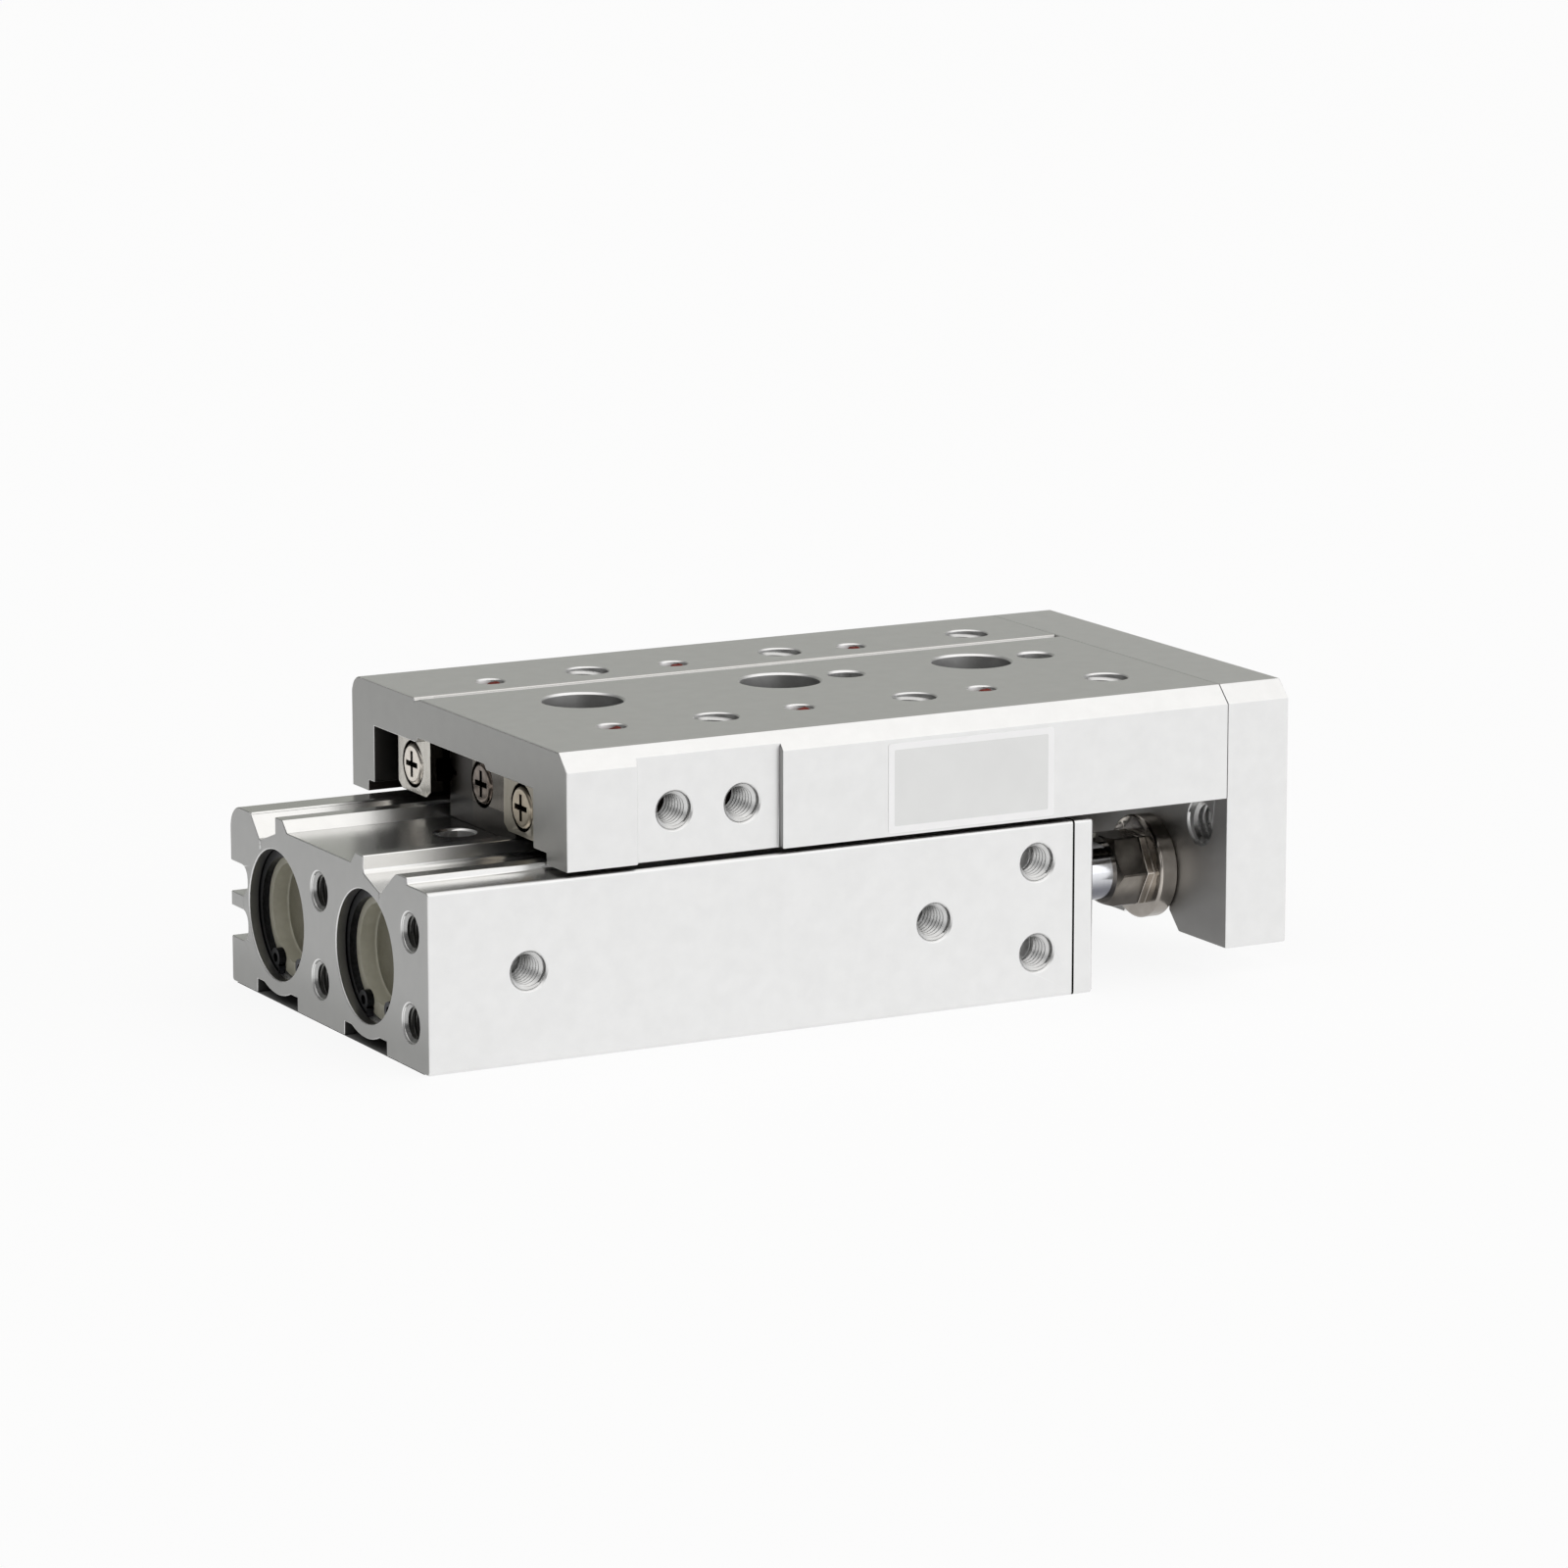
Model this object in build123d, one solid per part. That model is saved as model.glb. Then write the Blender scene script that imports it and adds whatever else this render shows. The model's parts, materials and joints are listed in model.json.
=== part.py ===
from build123d import *
import os

# Twin-bore pneumatic slide table, in millimetres.
# +X is the stroke, towards the end plate. +Z is up. The near side faces -Y.
# The origin is on the base face, at the middle one of the three body mounting holes.
# The table is drawn partly extended.

# Cylinders
BORE = 16.0
BORE_PITCH = 28.0
BORE_Z = 11.9
ROD = 8.0
STROKE = 50.0
EXTENDED = 19.0
MOUTH = 17.8
MOUTH_DEPTH = 8.5

# Body
BODY_LENGTH = 95.7
NEAR_SIDE = 33.4
FAR_SIDE = 28.8
SHOULDER_Z = 24.0
SHOULDER_WIDTH = 6.2
OUTER_RIDGE_Z = 24.9
OUTER_RIDGE_WIDTH = 3.35
FAR_RIDGE_Z = 24.5
FAR_CORNER_R = 3.2
GROOVE_Z = 21.25
GROOVE_BOTTOM = 5.1
GROOVE_SHELF = 0.75
GROOVE_RADIUS = 0.8
NEAR_LIP_RADIUS = 3.0
FAR_GROOVE_WIDTH = 8.1
SEAT_Z = 23.8
SEAT_RIDGE_Z = 25.3
SEAT_RIDGE_WIDTH = 2.4
HOLE_START = 20.0
HOLE_PITCH = 30.0
HOLE_COUNT = 3
HOLE_THROUGH = 5.3
HOLE_THREAD = 6.0
HOLE_THREAD_DEPTH = 10.0
REAR_THREAD_DEPTH = 8.0
REAR_THREAD_SPAN = 12.0
SIDE_THREAD_START = 14.3
SIDE_THREAD_PITCH = 60.0
SIDE_THREAD_Z = 12.3
SIDE_THREAD_DEPTH = 8.0
SENSOR_SLOT_WIDTH = 4.2
SENSOR_SLOT_DEPTH = 5.4
SENSOR_SLOT_PITCH = 6.2
SENSOR_SLOT_MID_Z = 11.5
BASE_SLOT_WIDTH = 13.0
BASE_SLOT_DEPTH = 1.9
BORE_WALL = 2.0

# Air ports and passages
PORT_THREAD = 5.0
PORT_DEPTH = 6.0
PORT_FROM_FRONT = 5.6
PORT_PITCH = 12.4
PORT_MID_Z = 12.6
PASSAGE = 1.8
CHANNEL_INSET = 4.8

# Front cover and its screws
COVER_THICKNESS = 3.2
COVER_CHAMFER = 0.4
COVER_SCREW = 3.0
COVER_SCREW_HEAD = 5.6
COVER_SCREW_LENGTH = 7.0

# Head caps and retaining rings
RING_SETBACK = 1.5
RING_THICKNESS = 1.0
RING_GROOVE_DEPTH = 0.6
RING_WIDTH = 1.5
RING_EYE = 1.3
CAP_RECESS = 13.6
CAP_RECESS_DEPTH = 2.4
CAP_RECESS_RADIUS = 0.4
O_RING = 1.7

# Rod covers
GLAND_LENGTH = 11.5
GLAND_SETBACK = 4.7
GLAND_GROOVE_WIDTH = 2.0
GLAND_GROOVE_DEPTH = 1.0
GLAND_BACK_BORE = 10.4
BUSHING_LENGTH = 3.6
BUSHING_WALL = 1.3
SEAL_LENGTH = 2.0
SEAL_WALL = 2.0

# Pistons
PISTON_LENGTH = 17.0
PISTON_CLEARANCE = 0.1
BUMPER = 1.5
BUMPER_WALL = 1.5
END_CLEARANCE = 0.5
ROD_TAIL = 5.0
SEAL_GROOVE_DEPTH = 2.0
SEAL_GROOVE_WIDTH = 2.5
MAGNET_WIDTH = 4.0
MAGNET_DEPTH = 2.2

# Table
TABLE_LENGTH = 100.0
TABLE_SETBACK = 0.9
TABLE_FAR = 32.3
TABLE_BOTTOM_Z = 24.6
TABLE_SLAB = 6.1
TABLE_CHAMFER = 2.35
TABLE_FAR_RADIUS = 2.6
LEG_LIP_Z = 26.1
LEG_LIP_WIDTH = 6.1
FAR_LIP_WIDTH = 5.2
CHANNEL_NEAR = 23.5
CHANNEL_FAR = 25.2
RELIEF_HEIGHT = 0.7
RELIEF_NEAR = 9.7
RELIEF_FAR = 12.1
LINE_GROOVE_Y = 12.4
LINE_GROOVE_DEPTH = 0.5
LINE_GROOVE_WIDTH = 1.8
ACCESS_HOLE = 11.0
TOP_THREAD = 6.0
TOP_THREAD_START = 29.3
TOP_THREAD_PITCH = 30.0
TOP_THREAD_SPAN = 38.0
PIN_HOLE = 5.0
POCKET_START = 10.3
POCKET_LENGTH = 21.2
POCKET_DEPTH = 0.9
TABLE_SIDE_THREAD_START = 16.0
TABLE_SIDE_THREAD_PITCH = 10.0
TABLE_SIDE_THREAD_Z = 31.1

# Guide: two outer rails on the table, one centre rail on the body, crossed rollers between
RAIL_SETBACK = 1.8
RAIL_INNER = 11.2
RAIL_WIDTH = 10.1
RAIL_HEIGHT = 7.8
RAIL_CORNER = 1.3
RAIL_GAP = 1.2
CENTRE_RAIL_START = 24.0
CENTRE_RAIL_END_GAP = 2.7
CENTRE_RAIL_HEIGHT = 9.4
CENTRE_RAIL_ACCESS = 10.0
CENTRE_SCREW_START = 35.0
ROLLER = 3.0
ROLLER_LENGTH = 2.9
ROLLER_PITCH = 5.0
ROLLER_COUNT = 8
CAGE_THICKNESS = 0.6
CAGE_HEIGHT = 5.8
CAGE_LENGTH = 38.0
GROOVE_RELIEF = 0.5
RAIL_SCREW_START = 14.2
RAIL_SCREW_PITCH = 28.0
RAIL_SCREW_COUNT = 3
RAIL_SCREW_SPAN = 36.4
RAIL_SCREW = 3.0
RAIL_SCREW_HEAD = 5.4
RAIL_SCREW_WELL = 4.0
RAIL_SCREW_WELL_DEPTH = 1.4
END_SCREW = 3.0
END_SCREW_HEAD = 5.8
END_SCREW_HEAD_HEIGHT = 1.8
END_SCREW_LENGTH = 6.0
END_SCREW_OFFSET = 0.4

# End plate
PLATE_THICKNESS = 9.6
PLATE_BOTTOM_Z = 3.7
ROD_SLOT = 9.4
ROD_SLOT_FLARE = 2.6
NUT_SLOT = 14.0
NUT_SLOT_DEPTH = 5.0
BOLT = 4.0
BOLT_HEAD = 7.0
BOLT_HEAD_HEIGHT = 4.0
BOLT_LENGTH = 12.0
BOLT_SPAN_Z = 7.4
ADJUSTER_THREAD = 6.0
ADJUSTER_FROM_NEAR = 7.0
ADJUSTER_Z = 20.0
PLATE_THREAD = 5.0
PLATE_THREAD_SPAN_Y = 28.0
PLATE_THREAD_SPAN_Z = 12.0
PLATE_THREAD_MID_Z = 28.0
PLATE_THREAD_DEPTH = 7.5

# Rod ends
ROD_NUT = 9.5
ROD_NUT_HEIGHT = 4.2
ROD_NUT_TURNED = 10.8
NUT_FACE_HEIGHT = 0.2
ROD_SPIGOT = 6.0
BUSH_FLANGE = 14.4
BUSH_FLANGE_HEIGHT = 2.8
BUSH_HEX_HEIGHT = 1.1
BUSH_NECK = 9.0
WASHER = 12.4
WASHER_THICKNESS = 1.2
END_CAP_SCREW = 4.0
END_CAP_SCREW_HEAD = 7.0
END_CAP_SCREW_HEIGHT = 2.8
END_CAP_SCREW_LENGTH = 10.0

# Clearances: still pieces in their seats, running fits, and pieces that pass each other
FIT_GAP = 0.05
RUN_GAP = 0.03
PASS_GAP = 0.3

M5 = 5.0
M4 = 4.0
MOUTH_CHAMFER = 0.3
CUT = 1.0

# Places that follow from the sizes above
X_REAR = -(HOLE_START + HOLE_PITCH)
X_FRONT = X_REAR + BODY_LENGTH
X_COVER = X_FRONT + COVER_THICKNESS
X_TABLE = X_REAR + TABLE_SETBACK + EXTENDED
X_PLATE = X_TABLE + TABLE_LENGTH
X_PLATE_FRONT = X_PLATE + PLATE_THICKNESS
X_GLAND_END = X_FRONT - GLAND_SETBACK
X_GLAND = X_GLAND_END - GLAND_LENGTH
X_PISTON = X_REAR + MOUTH_DEPTH + END_CLEARANCE + BUMPER + EXTENDED
X_PISTON_END = X_PISTON + PISTON_LENGTH
X_CENTRE_RAIL = X_REAR + CENTRE_RAIL_START
X_CENTRE_RAIL_END = X_FRONT - CENTRE_RAIL_END_GAP
X_RAIL = X_TABLE + RAIL_SETBACK
X_RAIL_END = X_PLATE - RAIL_SETBACK
CEILING_Z = SEAT_Z + CENTRE_RAIL_HEIGHT + RELIEF_HEIGHT
TABLE_TOP_Z = CEILING_Z + TABLE_SLAB
RAIL_BOTTOM_Z = CEILING_Z - RAIL_HEIGHT
ROLLER_Z = RAIL_BOTTOM_Z + RAIL_HEIGHT / 2
RAIL_OUTER = RAIL_INNER + RAIL_WIDTH
CENTRE_HALF = RAIL_INNER - RAIL_GAP
SIDES = (("near", -1), ("far", 1))
HOLE_X = [X_REAR + HOLE_START + i * HOLE_PITCH for i in range(HOLE_COUNT)]
TOP_THREAD_X = [X_TABLE + TOP_THREAD_START + i * TOP_THREAD_PITCH for i in range(HOLE_COUNT)]
RAIL_SCREW_X = [X_TABLE + RAIL_SCREW_START + i * RAIL_SCREW_PITCH for i in range(RAIL_SCREW_COUNT)]
CENTRE_SCREW_X = [X_REAR + CENTRE_SCREW_START + i * HOLE_PITCH for i in range(HOLE_COUNT - 1)]

TO_REAR = Rot(0, -90, 0)
TO_FRONT = Rot(0, 90, 0)
TO_NEAR = Rot(90, 0, 0)
TO_FAR = Rot(-90, 0, 0)
TO_BASE = Rot(180, 0, 0)
UP = Rot(0, 0, 0)
STANDING = (Align.CENTER, Align.CENTER, Align.MIN)
HANGING = (Align.CENTER, Align.CENTER, Align.MAX)


def bore_y(side):
    return side * BORE_PITCH / 2


def rod(diameter, x0, x1, y, z):
    """Round bar along X from x0 to x1."""
    return Pos(x0, y, z) * TO_FRONT * Cylinder(diameter / 2, x1 - x0, align=STANDING)


def tube(outer, inner, x0, x1, y, z):
    """Hollow round bar along X."""
    return rod(outer, x0, x1, y, z) - rod(inner, x0 - CUT, x1 + CUT, y, z)


def drill(diameter, depth, chamfer=MOUTH_CHAMFER, point=True):
    """Cutting tool for a hole whose mouth lies at the origin and faces +Z."""
    tool = Cylinder(diameter / 2, depth, align=HANGING)
    tool += Cylinder(diameter / 2 + chamfer, CUT, align=STANDING)
    if chamfer > 0:
        tool += Cone(diameter / 2, diameter / 2 + chamfer, chamfer, align=HANGING)
    if point:
        tip = diameter * 0.3
        tool += Pos(0, 0, -depth) * Cone(0.01, diameter / 2, tip, align=HANGING)
    return tool


def across_x(section, x0, length):
    """Extrude a section drawn in Y and Z along X."""
    return extrude(Pos(x0, 0, 0) * (Plane.YZ * section), length)


def hex_socket(width, depth):
    """Cutting tool for a hexagon socket, mouth at the origin and facing +Z."""
    return Pos(0, 0, -depth) * extrude(RegularPolygon(width / 2, 6, major_radius=False), depth + CUT)


def cap_screw(thread, head, head_height, length, socket):
    """Socket cap screw with the underside of its head at the origin and its shank towards -Z."""
    body = Cylinder(head / 2, head_height, align=STANDING)
    body = chamfer(body.edges().filter_by(GeomType.CIRCLE).sort_by(Axis.Z)[-1], head_height * 0.1)
    body += Cylinder(thread / 2 - FIT_GAP, length, align=HANGING)
    return body - Pos(0, 0, head_height) * hex_socket(socket, head_height * 0.5)


def body_section():
    """Cross section of the extrusion: guide seat, ridges, gutters, base slots and sensor slots."""
    near = -NEAR_SIDE
    ridge = CENTRE_HALF + FIT_GAP
    ridge_top = ridge + SEAT_RIDGE_Z - SEAT_Z
    gutter = ridge_top + SEAT_RIDGE_WIDTH
    bottom = gutter + GROOVE_BOTTOM
    near_shoulder = near + SHOULDER_WIDTH
    near_lip = near_shoulder + OUTER_RIDGE_WIDTH
    far_lip = gutter + FAR_GROOVE_WIDTH
    outline = [
        (near, 0),
        (near, SHOULDER_Z),
        (near_shoulder, SHOULDER_Z),
        (near_shoulder + 0.1, OUTER_RIDGE_Z),
        (near_lip, OUTER_RIDGE_Z),
        (-bottom, GROOVE_Z),
        (-gutter, SEAT_Z - GROOVE_SHELF),
        (-gutter, SEAT_RIDGE_Z),
        (-ridge_top, SEAT_RIDGE_Z),
        (-ridge, SEAT_Z),
        (ridge, SEAT_Z),
        (ridge_top, SEAT_RIDGE_Z),
        (gutter, SEAT_RIDGE_Z),
        (gutter, SEAT_Z - GROOVE_SHELF),
        (bottom, GROOVE_Z),
        (far_lip, FAR_RIDGE_Z),
        (FAR_SIDE, FAR_RIDGE_Z),
        (FAR_SIDE, 0),
    ]
    face = make_face(Polyline(*outline, close=True))

    def corners(*points):
        wanted = [Vector(y, z) for y, z in points]
        return [v for v in face.vertices() if any((Vector(v.X, v.Y) - w).length < 0.01 for w in wanted)]

    face = fillet(corners((FAR_SIDE, FAR_RIDGE_Z)), FAR_CORNER_R)
    gutter_corners = [(-bottom, GROOVE_Z), (bottom, GROOVE_Z), (-gutter, SEAT_Z - GROOVE_SHELF)]
    face = fillet(corners(*gutter_corners, (far_lip, FAR_RIDGE_Z)), GROOVE_RADIUS)
    face = fillet(corners((near_lip, OUTER_RIDGE_Z)), NEAR_LIP_RADIUS)
    face = fillet(corners((near, 0), (near, SHOULDER_Z), (FAR_SIDE, 0)), 0.5)
    for side in (-1, 1):
        slot = Pos(bore_y(side), BASE_SLOT_DEPTH / 2) * Rectangle(BASE_SLOT_WIDTH, BASE_SLOT_DEPTH)
        face -= slot - Pos(bore_y(side), BORE_Z) * Circle(MOUTH / 2 + BORE_WALL)
        slot_z = SENSOR_SLOT_MID_Z + side * SENSOR_SLOT_PITCH / 2
        groove = Rectangle(SENSOR_SLOT_DEPTH * 2, SENSOR_SLOT_WIDTH)
        face -= Pos(FAR_SIDE, slot_z) * fillet(groove.vertices(), SENSOR_SLOT_WIDTH * 0.42)
    return face


def air_passages():
    """Ports in the near side and the drilled ways from them to both ends of both bores."""
    port_x = X_FRONT - PORT_FROM_FRONT
    channel_y = -NEAR_SIDE + CHANNEL_INSET
    groove_x = X_GLAND + GLAND_LENGTH * 0.4
    back_x = X_REAR + MOUTH_DEPTH + PASSAGE
    cuts = Part()
    for level, far_x in ((1, groove_x), (-1, back_x)):
        port_z = PORT_MID_Z + level * PORT_PITCH / 2
        cuts += Pos(port_x, -NEAR_SIDE, port_z) * TO_NEAR * drill(PORT_THREAD, PORT_DEPTH, point=False)
        cuts += rod(PASSAGE, far_x, port_x, channel_y, port_z)
        reach = bore_y(-1) - channel_y
        cuts += Pos(far_x, channel_y, port_z) * TO_FAR * Cylinder(PASSAGE / 2, reach, align=STANDING)
        web = Pos(far_x, bore_y(-1), BORE_Z) * TO_FAR * Cylinder(PASSAGE / 2, BORE_PITCH, align=STANDING)
        cuts += web
    return cuts


def make_body():
    body = across_x(body_section(), X_REAR, BODY_LENGTH)
    ring_x = X_REAR + RING_SETBACK
    for name, side in SIDES:
        y = bore_y(side)
        body -= rod(BORE, X_REAR - CUT, X_FRONT + CUT, y, BORE_Z)
        body -= rod(MOUTH, X_REAR - CUT, X_REAR + MOUTH_DEPTH, y, BORE_Z)
        body -= rod(MOUTH, X_GLAND, X_FRONT + CUT, y, BORE_Z)
        ring = MOUTH + 2 * RING_GROOVE_DEPTH
        for groove_x in (ring_x, X_GLAND_END):
            body -= rod(ring, groove_x, groove_x + RING_THICKNESS + 2 * FIT_GAP, y, BORE_Z)
    body -= air_passages()
    for x in HOLE_X:
        body -= Pos(x, 0, SEAT_Z) * drill(HOLE_THROUGH, SEAT_Z + CUT, point=False)
        body -= Pos(x, 0, 0) * TO_BASE * drill(HOLE_THREAD, HOLE_THREAD_DEPTH)
    for x in CENTRE_SCREW_X:
        body -= Pos(x, 0, SEAT_Z) * drill(M4, 8, chamfer=0)
    for y in (bore_y(-1) * 2, 0):
        for z in (BORE_Z - REAR_THREAD_SPAN / 2, BORE_Z + REAR_THREAD_SPAN / 2):
            body -= Pos(X_REAR, y, z) * TO_REAR * drill(M5, REAR_THREAD_DEPTH)
    for step in (0, SIDE_THREAD_PITCH):
        x = X_REAR + SIDE_THREAD_START + step
        body -= Pos(x, -NEAR_SIDE, SIDE_THREAD_Z) * TO_NEAR * drill(M5, SIDE_THREAD_DEPTH)
    depth = COVER_SCREW_LENGTH - COVER_THICKNESS + 0.5
    for y, z in cover_screw_places():
        body -= Pos(X_FRONT, y, z) * TO_FRONT * drill(COVER_SCREW, depth, chamfer=0, point=False)
    return body


def cover_screw_places():
    high = BORE_Z + SENSOR_SLOT_PITCH * 1.4
    low = BORE_Z - SENSOR_SLOT_PITCH
    return [(-NEAR_SIDE + 4.4, PORT_MID_Z), (0, BORE_Z + SENSOR_SLOT_PITCH), (0, low), (FAR_SIDE - 4.3, high)]


def make_front_cover():
    cover = across_x(body_section(), X_FRONT, COVER_THICKNESS)
    front_edge = cover.edges().group_by(Axis.X)[-1].filter_by(Axis.Z).sort_by(Axis.Y)[0]
    cover = chamfer(front_edge, COVER_CHAMFER)
    for name, side in SIDES:
        cover -= rod(MOUTH, X_FRONT - CUT, X_COVER + CUT, bore_y(side), BORE_Z)
    for y, z in cover_screw_places():
        cover -= rod(COVER_SCREW + 2 * PASS_GAP, X_FRONT - CUT, X_COVER + CUT, y, z)
        sink = Cone(COVER_SCREW / 2 + PASS_GAP, COVER_SCREW_HEAD / 2 + FIT_GAP, 1.5, align=HANGING)
        cover -= Pos(X_COVER, y, z) * TO_FRONT * sink
    return cover


def make_front_cover_screws():
    screw = Cone(COVER_SCREW / 2, COVER_SCREW_HEAD / 2, 1.5, align=HANGING)
    screw += Cylinder(COVER_SCREW / 2 - FIT_GAP, COVER_SCREW_LENGTH, align=HANGING)
    screw -= hex_socket(2.0, 1.0)
    return [Pos(X_COVER - FIT_GAP, y, z) * TO_FRONT * screw for y, z in cover_screw_places()]


def retaining_ring(x, y):
    """Internal ring, open at the bottom, with an eyed lug at each end."""
    outer = MOUTH / 2 + RING_GROOVE_DEPTH - FIT_GAP
    ring = Circle(outer) - Pos(0, -0.25) * Circle(outer - RING_WIDTH)
    gap = Polygon((0, 0), (-outer * 0.42, -outer * 1.2), (outer * 0.42, -outer * 1.2), align=None)
    ring -= gap
    for turn in (-1, 1):
        lug_y = turn * outer * 0.41
        lug_z = -(outer - RING_WIDTH - RING_EYE * 0.95)
        lug = Pos(lug_y, lug_z) * Circle(RING_EYE)
        stem = Pos(lug_y * 1.1, lug_z - RING_EYE) * Rectangle(RING_EYE * 1.5, RING_EYE * 2)
        ring += lug + (stem & Circle(outer))
        ring -= Pos(lug_y, lug_z) * Circle(RING_EYE / 2)
    return across_x(Pos(y, BORE_Z) * ring, x + FIT_GAP, RING_THICKNESS)


def o_ring(x, y, groove_depth):
    """Squeezed ring in its groove, between the groove floor and the wall of the mouth."""
    inner = MOUTH - 2 * groove_depth
    return tube(MOUTH - 4 * FIT_GAP, inner, x + FIT_GAP, x + O_RING, y, BORE_Z)


def make_head_cap(y):
    x0 = X_REAR + RING_SETBACK + RING_THICKNESS + 2 * FIT_GAP
    x1 = X_REAR + MOUTH_DEPTH
    cap = rod(MOUTH - 2 * FIT_GAP, x0, x1, y, BORE_Z)
    recess = rod(CAP_RECESS, x0 - CUT, x0 + CAP_RECESS_DEPTH, y, BORE_Z)
    floor_edge = recess.edges().filter_by(GeomType.CIRCLE).sort_by(Axis.X)[-1]
    cap -= fillet(floor_edge, CAP_RECESS_RADIUS)
    groove_x = x1 - 1.2 - O_RING
    depth = O_RING * 0.85
    cap -= tube(MOUTH + CUT, MOUTH - 2 * depth - 2 * FIT_GAP, groove_x, groove_x + O_RING + FIT_GAP, y, BORE_Z)
    return cap, o_ring(groove_x, y, depth)


def make_gland(y):
    """Rod cover with its air groove, two outer O-rings, bushing and rod seal."""
    cover = rod(MOUTH - 2 * FIT_GAP, X_GLAND, X_GLAND_END, y, BORE_Z)
    groove_mid = X_GLAND + GLAND_LENGTH * 0.4
    groove = GLAND_GROOVE_WIDTH / 2
    floor = MOUTH - 2 * GLAND_GROOVE_DEPTH - 2 * FIT_GAP
    cover -= tube(MOUTH + CUT, floor, groove_mid - groove, groove_mid + groove, y, BORE_Z)
    back_end = groove_mid + groove
    cover -= rod(GLAND_BACK_BORE, X_GLAND - CUT, back_end, y, BORE_Z)
    for turn in (0, 90):
        radial = Cylinder(PASSAGE / 2, MOUTH - 2 * FIT_GAP)
        cover -= Pos(groove_mid, y, BORE_Z) * Rot(turn, 0, 0) * radial
    seal_x = X_GLAND_END - SEAL_LENGTH - 0.6
    bushing_x = seal_x - BUSHING_LENGTH
    bushing_od = ROD + 2 * BUSHING_WALL
    seal_od = ROD + 2 * SEAL_WALL
    cover -= rod(ROD + 2 * PASS_GAP, back_end - CUT, X_GLAND_END + CUT, y, BORE_Z)
    cover -= rod(bushing_od, bushing_x, seal_x, y, BORE_Z)
    cover -= rod(seal_od, seal_x, seal_x + SEAL_LENGTH, y, BORE_Z)
    bushing = tube(bushing_od - 2 * FIT_GAP, ROD + 2 * RUN_GAP, bushing_x, seal_x - FIT_GAP, y, BORE_Z)
    seal = tube(seal_od - 2 * FIT_GAP, ROD + 2 * RUN_GAP, seal_x, seal_x + SEAL_LENGTH - FIT_GAP, y, BORE_Z)
    depth = O_RING * 0.85
    rings = []
    for x in (groove_mid - groove - 0.7 - O_RING, groove_mid + groove + 0.9):
        cover -= tube(MOUTH + CUT, MOUTH - 2 * depth - 2 * FIT_GAP, x, x + O_RING + FIT_GAP, y, BORE_Z)
        rings.append(o_ring(x, y, depth))
    return cover, bushing, seal, rings


def v_groove(y, opens):
    """Section of a V groove in a rail's side at y, opening towards opens, with relief in its bottom."""
    gap = RUN_GAP * 2 ** 0.5
    mouth = ROLLER * 2 ** 0.5 / 2 - RAIL_GAP / 2 + gap
    deep = y - opens * mouth
    past = y + opens * CUT
    vee = Polygon((past, mouth + CUT), (past, -mouth - CUT), (deep, 0), align=None)
    relief = Pos(deep, 0) * Rectangle(GROOVE_RELIEF * 1.6, GROOVE_RELIEF)
    return Pos(0, ROLLER_Z) * (vee + relief)


def end_screw_well(turn):
    """Counterbore and thread for an end screw, mouth at the origin."""
    depth = END_SCREW_HEAD_HEIGHT - 0.2
    well = Cylinder(END_SCREW_HEAD / 2 + PASS_GAP, depth, align=HANGING)
    well += Cylinder(END_SCREW / 2, depth + END_SCREW_LENGTH, align=HANGING)
    return turn * well


def end_screw():
    """Truss-head screw: domed head with a cross recess, head rim at the origin."""
    depth = END_SCREW_HEAD_HEIGHT - 0.2
    head = Pos(0, 0, -depth) * Cylinder(END_SCREW_HEAD / 2, END_SCREW_HEAD_HEIGHT, align=STANDING)
    head = fillet(head.edges().filter_by(GeomType.CIRCLE).sort_by(Axis.Z)[-1], 0.6)
    head += Pos(0, 0, -depth) * Cylinder(END_SCREW / 2 - FIT_GAP, END_SCREW_LENGTH - 1, align=HANGING)
    for turn in (0, 90):
        arm = Box(END_SCREW_HEAD * 0.62, 0.75, 1.2, align=(Align.CENTER, Align.CENTER, Align.MAX))
        head -= Pos(0, 0, 0.2 + 0.01) * Rot(0, 0, turn) * arm
    return head


def make_outer_rail(side):
    """Table rail: V groove on its inner side, screw wells from below, end screws."""
    inner = side * RAIL_INNER
    outer = side * RAIL_OUTER
    top = CEILING_Z
    low = RAIL_BOTTOM_Z
    points = [
        (inner, top),
        (outer, top),
        (outer, low + RAIL_CORNER * 0.7),
        (outer - side * RAIL_CORNER, low),
        (inner + side * RAIL_CORNER, low),
        (inner, low + RAIL_CORNER * 0.7),
    ]
    section = make_face(Polyline(*points, close=True)) - v_groove(inner, -side)
    rail = across_x(section, X_RAIL, X_RAIL_END - X_RAIL)
    y = side * RAIL_SCREW_SPAN / 2
    for x in RAIL_SCREW_X:
        rail -= Pos(x, y, low) * TO_BASE * drill(RAIL_SCREW_HEAD + 0.2, 3.4, chamfer=0, point=False)
        rail -= Pos(x, y, 0) * Cylinder(RAIL_SCREW / 2 + FIT_GAP, 2 * TABLE_TOP_Z)
    y = end_screw_y(side)
    for x, turn in ((X_RAIL, TO_REAR), (X_RAIL_END, TO_FRONT)):
        rail -= Pos(x, y, ROLLER_Z) * end_screw_well(turn)
    return rail


def end_screw_y(side):
    return side * (RAIL_INNER + RAIL_WIDTH / 2 + END_SCREW_OFFSET)


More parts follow.
